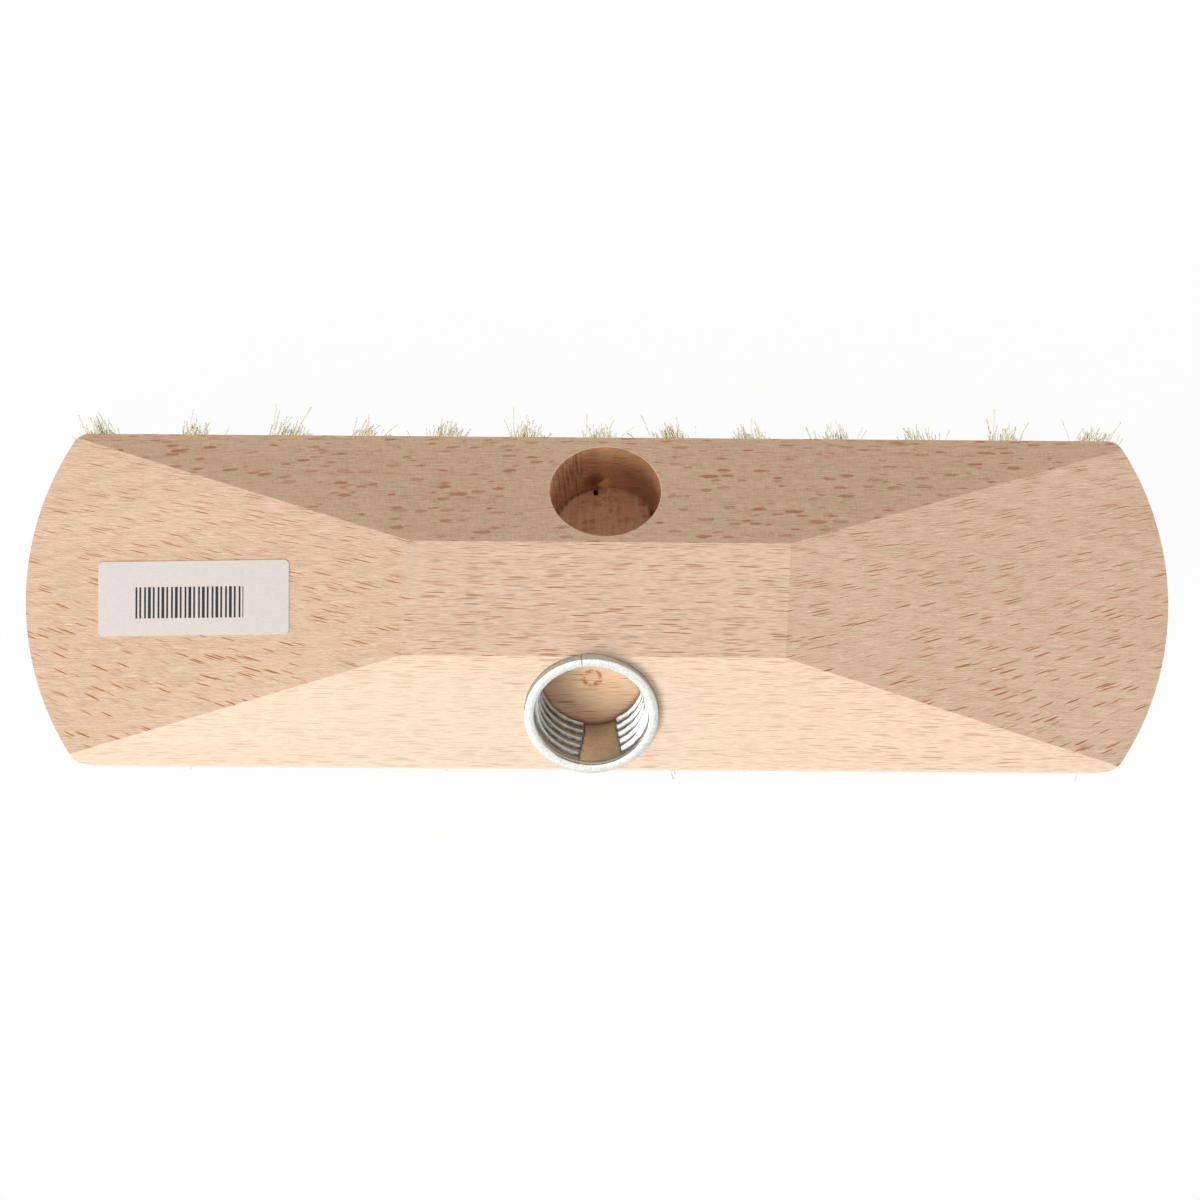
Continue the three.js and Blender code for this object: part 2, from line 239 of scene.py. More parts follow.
class FinishColours(PropertyGroup):
    """Colours of the wood, steel, paper and fibre."""

    beech_pale: colour_prop("Pale beech", "Early wood", (243, 212, 184))
    beech_dark: colour_prop("Dark beech", "Late wood", (200, 161, 131))
    beech_fleck: colour_prop("Beech fleck", "Rays cut across", (174, 110, 66))
    beech_ray: colour_prop("Beech ray", "Rays cut along", (190, 116, 74))
    beech_sap: colour_prop("Sap wood", "Outer wood, far from the pith", (226, 212, 188))
    zinc: colour_prop("Zinc", "Galvanised steel", (228, 226, 214))
    paper: colour_prop("Paper", "Label paper", (226, 217, 210))
    ink: colour_prop("Ink", "Print on the label", (20, 18, 18))
    fibre_pale: colour_prop("Pale fibre", "Light fibres", (253, 251, 233))
    fibre_straw: colour_prop("Straw fibre", "Darker fibres", (237, 226, 188))
    floor: colour_prop("Floor", "Studio floor", (246, 246, 246))


class StageSizes(PropertyGroup):
    """Camera and lamps."""

    camera_distance: length_prop("Camera distance", "Camera from the flat top", 1.2)
    camera_tilt: angle_prop("Camera tilt", "Camera towards the front, from straight above", 2.54)
    camera_roll: angle_prop("Camera roll", "Turn of the picture", 0.428)
    aim_right: length_prop("Aim right", "Middle of the picture from the middle of the flat top", 0.00063)
    aim_front: length_prop("Aim front", "Middle of the picture towards the front", 0.00014)
    pixels_per_metre: number_prop("Pixels per metre", "Scale of the picture at the flat top", 4785.0)
    key_level: number_prop("Key", "Light of the key lamp on a face turned to it", 0.85)
    fill_level: number_prop("Fill", "Light of each side lamp on a face turned to it", 0.3)
    strip_level: number_prop("Strip", "Light of the low strip lamp behind the fibres", 0.8)
    sky_level: number_prop("Sky", "Light from all round", 0.49)
    floor_size: length_prop("Floor size", "Side of the floor", 6.0)


class BrushSettings(PropertyGroup):
    """All settings of the brush."""

    block: PointerProperty(type=BlockSizes)
    sleeve: PointerProperty(type=SleeveSizes)
    label: PointerProperty(type=LabelSizes)
    tufts: PointerProperty(type=TuftSizes)
    colours: PointerProperty(type=FinishColours)
    stage: PointerProperty(type=StageSizes)


# Surfaces as whole arrays


def unit(vectors):
    """Vectors divided by their lengths."""
    return vectors / np.linalg.norm(vectors, axis=-1, keepdims=True)


def smooth_step(low, high, values):
    """0 below low and 1 above high, with 3 s squared minus 2 s cubed between them."""
    s = np.clip((values - low) / (high - low), 0.0, 1.0)
    return s * s * (3 - 2 * s)


def hump(values, middle, width):
    """1 at the middle, falling as e to the power of minus the square of the distance over the width."""
    return np.exp(-(((values - middle) / width) ** 2))


def arc(centre, radius, start, stop, count, last=False):
    """Points of an arc: centre plus radius times cosine and sine of evenly spaced angles."""
    angles = np.linspace(start, stop, count, endpoint=last)
    return np.stack([centre[0] + radius * np.cos(angles), centre[1] + radius * np.sin(angles)], axis=1)


def circle(sides):
    """Cosines and sines of angles spaced evenly round a turn."""
    angles = np.arange(sides) * 2 * np.pi / sides
    return np.cos(angles), np.sin(angles)


def bar_faces(rings, sides, count=1):
    """Faces of bars whose points run bar by bar and ring by ring: four-cornered ones between neighbouring rings,
    then one over each first ring and one over each last ring."""
    index = np.arange(rings * sides).reshape(rings, sides)
    index = np.concatenate([index, index[:, :1]], axis=1)
    corners = (index[:-1, :-1], index[:-1, 1:], index[1:, 1:], index[1:, :-1])
    quads = np.stack(corners, axis=-1).reshape(-1, 4)
    starts = np.arange(count)[:, None] * rings * sides
    ends = starts + np.arange(sides)
    return [(starts[:, None] + quads).reshape(-1, 4), ends[:, ::-1], ends + (rings - 1) * sides]


def turned(seat, profile):
    """A solid turned about a seat's Z axis from a profile of radius and height: radius times cosine and sine of
    the angle, then the height, closed by a flat disc at the first and the last point."""
    origin, axes = seat
    radii, heights = np.array(profile).T[:, :, None, None]
    around = np.stack([*circle(BORE_SIDES), np.zeros(BORE_SIDES)], axis=1)
    points = radii * around + heights * Z_AXIS
    return points.reshape(-1, 3) @ axes + origin, bar_faces(len(profile), BORE_SIDES)


def tubes(paths, radii, sides):
    """Round bars along many paths at once: each ring is its path point plus the radius times cosine and sine of
    the angle along two directions square to the path's chord. Both ends are closed."""
    chord = unit(paths[:, -1] - paths[:, 0])
    aside = unit(np.cross(chord, Y_AXIS))
    across = np.cross(chord, aside)
    cosine, sine = circle(sides)
    around = cosine[:, None] * aside[:, None] + sine[:, None] * across[:, None]
    points = paths[:, :, None] + radii[:, :, None, None] * around[:, None]
    count, rings = paths.shape[:2]
    return points.reshape(-1, 3), bar_faces(rings, sides, count)


def block_outline(block):
    """Plan of the block, counter-clockwise from the front right corner: the right end is an arc whose radius follows
    from bulge and width, between corner arcs that touch it, and the left end is the same one half a turn on."""
    half = block.width / 2
    end_radius = (block.bulge**2 + half**2) / (2 * block.bulge)
    end_centre = block.length / 2 - end_radius
    corner_y = half - block.corner
    corner_x = end_centre + np.sqrt((end_radius - block.corner) ** 2 - corner_y**2)
    sweep = np.arctan2(corner_y, corner_x - end_centre)
    right = np.concatenate(
        [
            arc((corner_x, -corner_y), block.corner, -np.pi / 2, -sweep, CORNER_STEPS),
            arc((end_centre, 0), end_radius, -sweep, sweep, END_STEPS),
            arc((corner_x, corner_y), block.corner, sweep, np.pi / 2, CORNER_STEPS, last=True),
        ]
    )
    return np.concatenate([right, -right])


def facet_directions(block):
    """Fall per length of the end facets, and the headings in which the right and the left one fall."""
    fall = (block.height - block.tip) / ((block.length - block.flat_length) / 2)
    return fall, -block.right_skew, np.pi - block.left_skew


def block_planes(block):
    """The four sloping faces as height = first + second x + third y, in the order front, right, rear, left."""
    slope = (block.height - block.eave) / ((block.width - block.flat_width) / 2)
    side = block.height + slope * block.flat_width / 2
    fall, right, left = facet_directions(block)
    reach = fall * block.flat_length / 2
    return np.array(
        [
            [side, 0.0, slope],
            [block.height + reach * np.cos(right), -fall * np.cos(right), -fall * np.sin(right)],
            [side, 0.0, -slope],
            [block.height - reach * np.cos(left), -fall * np.cos(left), -fall * np.sin(left)],
        ]
    )


def block_shell(block):
    """The planed block: each outline point rises to the lowest of the four sloping faces above it. Points where
    two faces are equally low are put in, so that every face is one flat polygon up to the flat top."""
    outline = block_outline(block)
    planes = block_planes(block)
    levels = planes[:, :1] + planes[:, 1:] @ outline.T
    lowest = levels.argmin(axis=0)
    before = np.flatnonzero(lowest != np.roll(lowest, -1))
    after = (before + 1) % len(outline)
    gap_before = levels[lowest[before], before] - levels[lowest[after], before]
    gap_after = levels[lowest[before], after] - levels[lowest[after], after]
    share = (gap_before / (gap_before - gap_after))[:, None]
    between = (1 - share) * outline[before] + share * outline[after]
    outline = np.insert(outline, before + 1, between, axis=0)
    hips = before + 1 + np.arange(len(before))
    count = len(outline)
    tops = (planes[:, :1] + planes[:, 1:] @ outline.T).min(axis=0)
    _, right, left = facet_directions(block)
    side = block.flat_width / 2 * np.array([-1.0, 1.0, 1.0, -1.0])
    ends = block.flat_length / 2 * np.array([1.0, 1.0, -1.0, -1.0])
    flat_x = ends - np.tan(np.array([right, right, left, left])) * side
    flat = np.stack([flat_x, side, np.full(4, block.height)], axis=1)
    bottom = np.column_stack([outline, np.zeros(count)])
    top = np.column_stack([outline, tops])
    ring = np.arange(count)
    following = np.roll(ring, -1)
    walls = np.stack([ring, following, following + count, ring + count], axis=1)
    corner = 2 * count + np.arange(4)
    runs = [np.arange(first, last + 1) for first, last in zip(hips[:3], hips[1:])]
    runs.append(np.concatenate([np.arange(hips[3], count), np.arange(hips[0] + 1)]))
    inner = np.stack([np.roll(corner, -1), corner], axis=1)
    slopes = [np.concatenate([run + count, pair])[None] for run, pair in zip(runs, inner)]
    return np.concatenate([bottom, top, flat]) + block_seat, slopes + [corner[None], ring[None, ::-1], walls]


def slope_seat(block, side, along, back):
    """Origin and axes of a seat on a long slope: X along the block, Y along the slope to the rear, Z out of it. The
    slope's angle is the arctangent of its rise over its run, and the origin is its middle plus the two offsets."""
    angle = np.arctan2(block.height - block.eave, (block.width - block.flat_width) / 2)
    cosine, sine = np.cos(angle), side * np.sin(angle)
    axes = np.array([[1.0, 0.0, 0.0], [0.0, cosine, -sine], [0.0, sine, cosine]])
    middle = np.array([0.0, side * (block.width + block.flat_width) / 4, (block.height + block.eave) / 2])
    return middle + along * axes[0] + back * axes[1] + block_seat, axes


def plain_seat(block):
    """Seat of the plain socket, on the rear slope."""
    return slope_seat(block, 1, block.plain_offset, -block.plain_rise)


def sleeve_seat(block):
    """Seat of the sleeve, on the front slope."""
    return slope_seat(block, -1, block.sleeve_offset, block.sleeve_rise)


def tuft_places(block, tufts):
    """Roots on the underside and downward leans of all tufts, row by row: evenly spaced along a row, leaning
    with their distance from the middle."""
    outer = block.width / 2 - tufts.outer_inset
    rows = np.array([-outer, -tufts.inner_offset, tufts.inner_offset, outer])
    margins = np.array([tufts.outer_margin, tufts.inner_margin, tufts.inner_margin, tufts.outer_margin])
    x = (block.length - 2 * margins)[:, None] * (np.arange(tufts.per_row) / (tufts.per_row - 1) - 0.5)
    y = np.broadcast_to(rows[:, None], x.shape)
    lean_x = np.tan(tufts.end_flare * x / (block.length / 2))
    lean_y = np.tan(tufts.rear_sweep + tufts.side_flare * y / (block.width / 2))
    roots = np.stack([x, y, np.zeros_like(x)], axis=-1) + block_seat
    return roots, np.stack([lean_x, lean_y, -np.ones_like(x)], axis=-1)


def tuft_axes(block, tufts):
    """Roots of all tufts in one list, and the directions up their holes."""
    roots, leans = tuft_places(block, tufts)
    return roots.reshape(-1, 3), -unit(leans.reshape(-1, 3))


def tuft_holes(block, tufts):
    """Cutters for the tuft holes: straight bars up each tuft's lean from just under the underside."""
    roots, up = tuft_axes(block, tufts)
    paths = np.stack([roots - up * CUT_PAST, roots + up * tufts.hole_depth], axis=1)
    return tubes(paths, np.full(paths.shape[:2], tufts.hole / 2), HOLE_SIDES)


def plain_bore(block):
    """Cutter for the plain socket: a cone from floor to mouth, run a little past the slope."""
    floor, mouth = block.plain_floor / 2, block.plain_mouth / 2
    taper = (mouth - floor) / block.plain_depth
    return turned(plain_seat(block), [[floor, -block.plain_depth], [mouth + taper * CUT_PAST, CUT_PAST]])


def mouth_easing(block):
    """Cutter for the sanded edge of the plain socket: a short wide cone that just meets the mouth."""
    mouth, easing = block.plain_mouth / 2, MOUTH_EASING
    return turned(plain_seat(block), [[mouth - easing, -2 * easing], [mouth + 2 * easing, easing]])


def sleeve_bore(block, sleeve):
    """Cutter for the sleeve's bore: a cylinder from its floor to just past the slope."""
    radius = sleeve.diameter / 2 + sleeve.clearance
    return turned(sleeve_seat(block), [[radius, -block.sleeve_depth], [radius, CUT_PAST]])


def drill_breakthrough(block, tufts):
    """Cutter for the pit where a tuft hole's drill point comes through the floor of the plain socket: a thin
    cone from the middle tuft of the rear row to the low side of that floor."""
    origin, axes = plain_seat(block)
    pit = origin - axes[2] * block.plain_depth + axes[1] * PIT_DOWN + axes[0] * PIT_ALONG
    roots, leans = tuft_places(block, tufts)
    root, lean = roots[3, tufts.per_row // 2], leans[3, tufts.per_row // 2]
    start = root - unit(lean) * (tufts.hole_depth - CUT_PAST)
    past = pit + unit(pit - start) * PIT_PAST
    return tubes(np.stack([start, past])[None], np.array([PIT_RADII]), PIT_SIDES)


def thread_rib(sleeve, angle, depth):
    """Shine, height and painted shade along the foot of the pressed thread, each from 0 to 1; the shine is dull
    between the ribs as painted shade. A rib is a raised cosine across its middle line, which climbs one pitch a turn.
    It begins in a round end, wears lower and is painted in shade over its last part, and stops at a straight edge
    with a painted shadow line, and the flat part that it leaves out widens towards the top."""
    turn = np.mod(angle - sleeve.rib_start + sleeve.flat_flare, 2 * np.pi) - sleeve.flat_flare
    turns = turn / (2 * np.pi)
    number = (depth - sleeve.first_rib) / sleeve.pitch + turns
    nearest = np.maximum(np.round(number), 0.0)
    away = np.abs(number - nearest) * sleeve.pitch
    middle = sleeve.first_rib + (nearest - turns) * sleeve.pitch
    flare = sleeve.flat_flare * (1 - np.clip((middle - THREAD_TOP) / FLARE_LENGTH, 0.0, 1.0))
    bend = sleeve.diameter / 2 - sleeve.wall
    half = sleeve.rib_width / 2
    before = np.maximum(flare + half / bend - turn, 0.0) * bend
    past = (turn - sleeve.rib_sweep + flare) * bend
    reach = np.hypot(away, before) / half
    kept = (1 - smooth_step(-0.25 * MM, 0.0, past)) * smooth_step(*RIB_FADE, middle)
    # Over this turn the ribs are lower and painted in shade: less shine, and wider, darker feet
    worn = smooth_step(*WORN_AND_SHADED_TURN, turn)
    swell = (0.5 + 0.5 * np.cos(np.pi * np.minimum(reach, 1.0))) ** 0.8 * kept * (1 - 0.3 * worn)
    # Painted shade along each rib's foot, and a painted shadow line where the ribs stop
    foot = hump(reach, 1.05 - 0.25 * worn, 0.3 + 0.15 * worn) * kept * (0.55 + 0.45 * worn)
    edge = hump(past, 0.0, 0.16 * MM) * (depth > THREAD_TOP)
    flat = smooth_step(0.0, 0.6 * MM, past) + smooth_step(0.0, 0.6 * MM, before - half)
    return np.maximum(swell, 0.8 * flat), swell, np.maximum(foot, edge)


def sleeve_surface(block, sleeve):
    """The rolled sleeve on a grid of angle and profile: up the outer wall, over the flat rim with its eased edges,
    past a groove under the lip, down the narrowing inner wall, less the thread's height there, and back along the
    lower edge. The slit's two faces close it. Returns points, faces, shine with painted shade and highlight, and
    painted shade along the feet of the ribs, in the groove and under the bead."""
    outer = sleeve.diameter / 2
    inner = outer - sleeve.wall
    low, high = SLEEVE_LIFT - block.sleeve_depth, sleeve.standout
    quarter = np.linspace(0.0, np.pi / 2, 4)
    cosine, sine = RIM_EASING * np.cos(quarter), RIM_EASING * np.sin(quarter)
    rim_radius = np.concatenate([outer - RIM_EASING + cosine, inner + RIM_EASING - sine])
    rim_height = high - RIM_EASING + np.concatenate([sine, cosine])
    lip_depths = np.linspace(0.2 * MM, 1.8 * MM, 33)
    depths = np.concatenate([lip_depths, np.linspace(1.9 * MM, high - low - 0.1 * MM, 116)])
    groove, bead, under_bead = (hump(depths, *mark) for mark in (GROOVE, BEAD, UNDER_BEAD))
    under_lip = LIP_DEPTH * smooth_step(1.2 * MM, 1.4 * MM, depths)
    wall = inner + GROOVE_DEPTH * groove + under_lip - sleeve.taper * depths / (high - low)
    radius = np.concatenate([[outer, outer], rim_radius, wall, wall[-1:]])
    height = np.concatenate([[low, low * 0.5], rim_height, high - depths, [low]])
    half_gap = sleeve.seam / 2 / outer
    angles = sleeve.seam_place + np.linspace(half_gap, 2 * np.pi - half_gap, SLEEVE_STEPS)
    inside = slice(2 + len(rim_radius), -1)
    gloss_and_shade, rib, foot = np.zeros((3, SLEEVE_STEPS, len(radius)))
    gloss_and_shade[:, inside], rib[:, inside], foot[:, inside] = thread_rib(sleeve, angles[:, None], depths[None])
    # A painted highlight on the bead
    gloss_and_shade[:, inside] = np.maximum(gloss_and_shade[:, inside], bead)
    # Painted shade in the groove and a painted shadow line under the bead
    foot[:, inside] = np.maximum(foot[:, inside], np.maximum(groove, under_bead))
    spread = radius - sleeve.rib_height * rib
    around = np.stack([np.cos(angles), np.sin(angles)], axis=-1)[:, None]
    levels = np.broadcast_to(height, spread.shape)[..., None]
    points = np.concatenate([spread[..., None] * around, levels], axis=-1)
    origin, axes = sleeve_seat(block)
    quads, first, last = bar_faces(SLEEVE_STEPS, len(radius))
    faces = [quads[:, [0, 3, 2, 1]], first[:, ::-1], last[:, ::-1]]
    return points.reshape(-1, 3) @ axes + origin, faces, gloss_and_shade.reshape(-1), foot.reshape(-1)


def label_sheet(block, label):
    """The label on a grid of ring and angle: each ring is the rounded outline scaled towards the middle, and the
    sheet bends down a hair at its rim. Returns points, faces and the place on the paper in metres."""
    x = label.length / 2 - label.corner
    y = label.width / 2 - label.corner
    corners = enumerate([(x, -y), (x, y), (-x, y), (-x, -y)])
    turns = [(corner, (number - 1) * np.pi / 2, number * np.pi / 2) for number, corner in corners]
    outline = np.concatenate([arc(corner, label.corner, *turn, 8, last=True) for corner, *turn in turns])
    shrink = np.array([1.0, 1.0, 1.0 - 0.0016, 0.985, 0.8])
    levels = np.array([0.0, 0.72, 1.0, 1.0, 1.0]) * label.thickness + 0.02 * MM
    flat = shrink[:, None, None] * outline[None]
    points = np.concatenate([flat, np.broadcast_to(levels[:, None, None], flat.shape[:2] + (1,))], axis=-1)
    fall, _, heading = facet_directions(block)
    slope = np.arctan(fall)
    level = np.array([np.cos(heading), np.sin(heading), 0.0])
    down = np.cos(slope) * level - np.sin(slope) * Z_AXIS
    out = np.sin(slope) * level + np.cos(slope) * Z_AXIS
    across = np.cross(out, down)
    turn = label.turn + block.left_skew
    along = np.cos(turn) * down + np.sin(turn) * across
    axes = np.stack([along, np.cos(turn) * across - np.sin(turn) * down, out])
    facet = np.hypot(block.height - block.tip, (block.length - block.flat_length) / 2)
    edge = np.array([-block.flat_length / 2, 0.0, block.height]) + block_seat
    centre = edge + down * (facet - label.end_margin - label.length / 2) + across * label.offset
    paper = -points[..., :2].reshape(-1, 2)
    return points.reshape(-1, 3) @ axes + centre, bar_faces(len(shrink), len(outline)), paper


def level_draws(draw, shape):
    """Random steps along X and Y, with none along Z."""
    return np.concatenate([draw.standard_normal(shape + (2,)), np.zeros(shape + (1,))], axis=-1)


def fibre_bundle(block, tufts, row):
    """All fibres of a row as bent bars: each runs from its place in the hole to its place in the wider tip,
    opening with the 1.3th power of the way down, with a sideways bow (a half sine), a curl at the tip (a cube)
    and a trimmed end. Returns points, faces, the tone of each point's fibre and how far down it is."""
    draw = np.random.default_rng(tufts.seed * 10 + row)
    roots, leans = tuft_places(block, tufts)
    roots, leans = roots[row][:, None], leans[row][:, None]
    shape = (tufts.per_row, tufts.fibres)
    turn = draw.random(shape) * 2 * np.pi
    place = np.sqrt(draw.random(shape))
    aside = np.stack([np.cos(turn), np.sin(turn), np.zeros(shape)], axis=-1)
    stray = draw.random(shape) < tufts.strays * (0.2 if row == 0 else 1.0)
    splay = place * (1 + 0.12 * draw.standard_normal(shape)) + stray * (0.35 + 0.5 * draw.random(shape))
    loose, bow, curl = (level_draws(draw, shape) for _ in range(3))
    sway = level_draws(draw, (tufts.per_row, 1))
    trimmed = 0.15 + 1.1 * draw.random(shape) ** 2 + 3.0 * stray * draw.random(shape)
    ends = tufts.fibre_length - MM * trimmed
    way = np.linspace(0.0, 1.0, FIBRE_RINGS)
    down = way * (ends + FIBRE_INSIDE)[..., None] - FIBRE_INSIDE
    part = np.clip(down / tufts.fibre_length, 0.0, 1.0)[..., None]
    wilder = 1 + 1.5 * stray[..., None]
    narrow = tufts.root_spread * place[..., None] * aside
    wide = tufts.tip_spread * splay[..., None] * aside + TIP_LOOSENESS * loose * wilder
    offset = narrow[:, :, None] + (wide - narrow)[:, :, None] * part**1.3
    offset = offset + FIBRE_BOW * bow[:, :, None] * np.sin(np.pi * part)
    offset = offset + TIP_CURL * curl[:, :, None] * part**3 * wilder[:, :, None]
    offset = offset + TUFT_SWAY * sway[:, :, None] * part**2
    offset = offset + tufts.rear_set * Y_AXIS * part**1.5
    if row == len(ROW_NAMES) - 1:
        tip_set = np.zeros((tufts.per_row, 1, 1, 3))
        tip_set[:, 0, 0, :2] = MM * np.resize(REAR_TIP_SET, (tufts.per_row, 2))
        offset = offset + tip_set * part**1.5
    paths = roots[:, :, None] + leans[:, :, None] * down[..., None] + offset
    girth = tufts.thickness / 2 * (0.72 + 0.56 * draw.random(shape))
    radii = girth[..., None] * (1.08 - 0.36 * way)
    points, faces = tubes(paths.reshape(-1, FIBRE_RINGS, 3), radii.reshape(-1, FIBRE_RINGS), FIBRE_SIDES)
    tone = np.repeat(draw.random(shape).reshape(-1), FIBRE_RINGS * FIBRE_SIDES)
    along = np.repeat(np.clip(down, 0.0, None).reshape(-1) / tufts.fibre_length, FIBRE_SIDES)
    return points, faces, tone, along


def anchor_straps(block, tufts):
    """All wire anchors: an oval strap across each hole, its section a rounded box from a superellipse of power
    four, carried along a short straight path with pinched ends."""
    roots, up = tuft_axes(block, tufts)
    along = unit(X_AXIS - up * up[:, :1])
    across = np.cross(up, along)
    middle = roots + up * (tufts.hole_depth - tufts.fold - tufts.anchor_height / 2)
    reach = tufts.hole / 2 * np.cos(np.pi / 6) - 0.3 * MM
    steps = np.array([-1.0, -0.96, -0.86, 0.86, 0.96, 1.0]) * reach
    pinch = np.array([0.55, 0.85, 1.0, 1.0, 0.85, 0.55])
    wide, tall = (np.sign(share) * np.sqrt(np.abs(share)) / 2 for share in circle(12))
    section = across[:, None] * (wide * tufts.anchor_thickness)[:, None]
    section = section + up[:, None] * (tall * tufts.anchor_height)[:, None]
    path = middle[:, None] + along[:, None] * steps[:, None]
    points = path[:, :, None] + pinch[:, None, None] * section[:, None]
    count, rings, sides = points.shape[:3]
    return points.reshape(-1, 3), bar_faces(rings, sides, count)


# Meshes and objects


def add_object(name, data):
    """A new object in the scene."""
    added = bpy.data.objects.new(name, data)
    bpy.context.scene.collection.objects.link(added)
    return added


def add_piece(name, points, face_tables, *materials):
    """A new object whose mesh takes its points and its tables of faces as whole arrays."""
    mesh = bpy.data.meshes.new(name)
    corners = np.concatenate([table.reshape(-1) for table in face_tables]).astype(np.int32)
    sizes = np.concatenate([np.full(len(table), table.shape[1]) for table in face_tables])
    mesh.vertices.add(len(points))
    mesh.vertices.foreach_set("co", points.astype(np.float32).reshape(-1))
    mesh.loops.add(len(corners))
    mesh.loops.foreach_set("vertex_index", corners)
    mesh.polygons.add(len(sizes))
    mesh.polygons.foreach_set("loop_start", np.concatenate([[0], np.cumsum(sizes)[:-1]]).astype(np.int32))
    mesh.update(calc_edges=True)
    if mesh.validate():
        raise ValueError(f"the mesh of {name} is not sound")
    for material in materials:
        mesh.materials.append(material)
    return add_object(name, mesh)


def read(items, name, kind):
    """One number from each of a mesh's items."""
    values = np.zeros(len(items), kind)
    items.foreach_get(name, values)
    return values


def store(piece, name, values):
    """Keeps one number a point on the piece for its material."""
    attribute = piece.data.attributes.new(name, "FLOAT", "POINT")
    attribute.data.foreach_set("value", values.astype(np.float32))


def work_in(piece):
    """Gives the piece the mesh that its modifiers make, and takes the modifiers off."""
    evaluated = piece.evaluated_get(bpy.context.evaluated_depsgraph_get())
    finished = bpy.data.meshes.new_from_object(evaluated)
    piece.modifiers.clear()
    rough = piece.data
    piece.data = finished
    bpy.data.meshes.remove(rough)
    finished.name = piece.name


def cut_away(piece, cutter):
    """Takes the cutter's solid out of the piece, keeps the cutter's material on the cut and removes the cutter."""
    cut = piece.modifiers.new("cut", "BOOLEAN")
    cut.operation = "DIFFERENCE"
    cut.solver = "EXACT"
    cut.material_mode = "TRANSFER"
    cut.object = cutter
    work_in(piece)
    spent = cutter.data
    bpy.data.objects.remove(cutter)
    bpy.data.meshes.remove(spent)


def shade(piece, degrees):
    """Smooth shading between faces that meet at less than the angle, but not next to broad faces."""
    mesh = piece.data
    mesh.shade_smooth()
    mesh.set_sharp_from_angle(angle=np.radians(degrees))
    broad = read(mesh.polygons, "area", float) > BROAD_FACE
    edges = read(mesh.loops, "edge_index", np.int32)
    sharp = read(mesh.edges, "use_edge_sharp", bool)
    sharp[edges[np.repeat(broad, read(mesh.polygons, "loop_total", np.int32))]] = True
    mesh.edges.foreach_set("use_edge_sharp", sharp)


def settle(piece, slot, *nodes):
    """The piece rides on the brush and stands for its CAD nodes, which it hides. The slot is not used."""
    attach(piece, "root")
    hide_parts(*nodes)


# Materials


def opaque(colour):
    """A plain colour with full alpha. A socket stays as it is."""
    return colour if isinstance(colour, NodeSocket) else (*colour, 1.0)


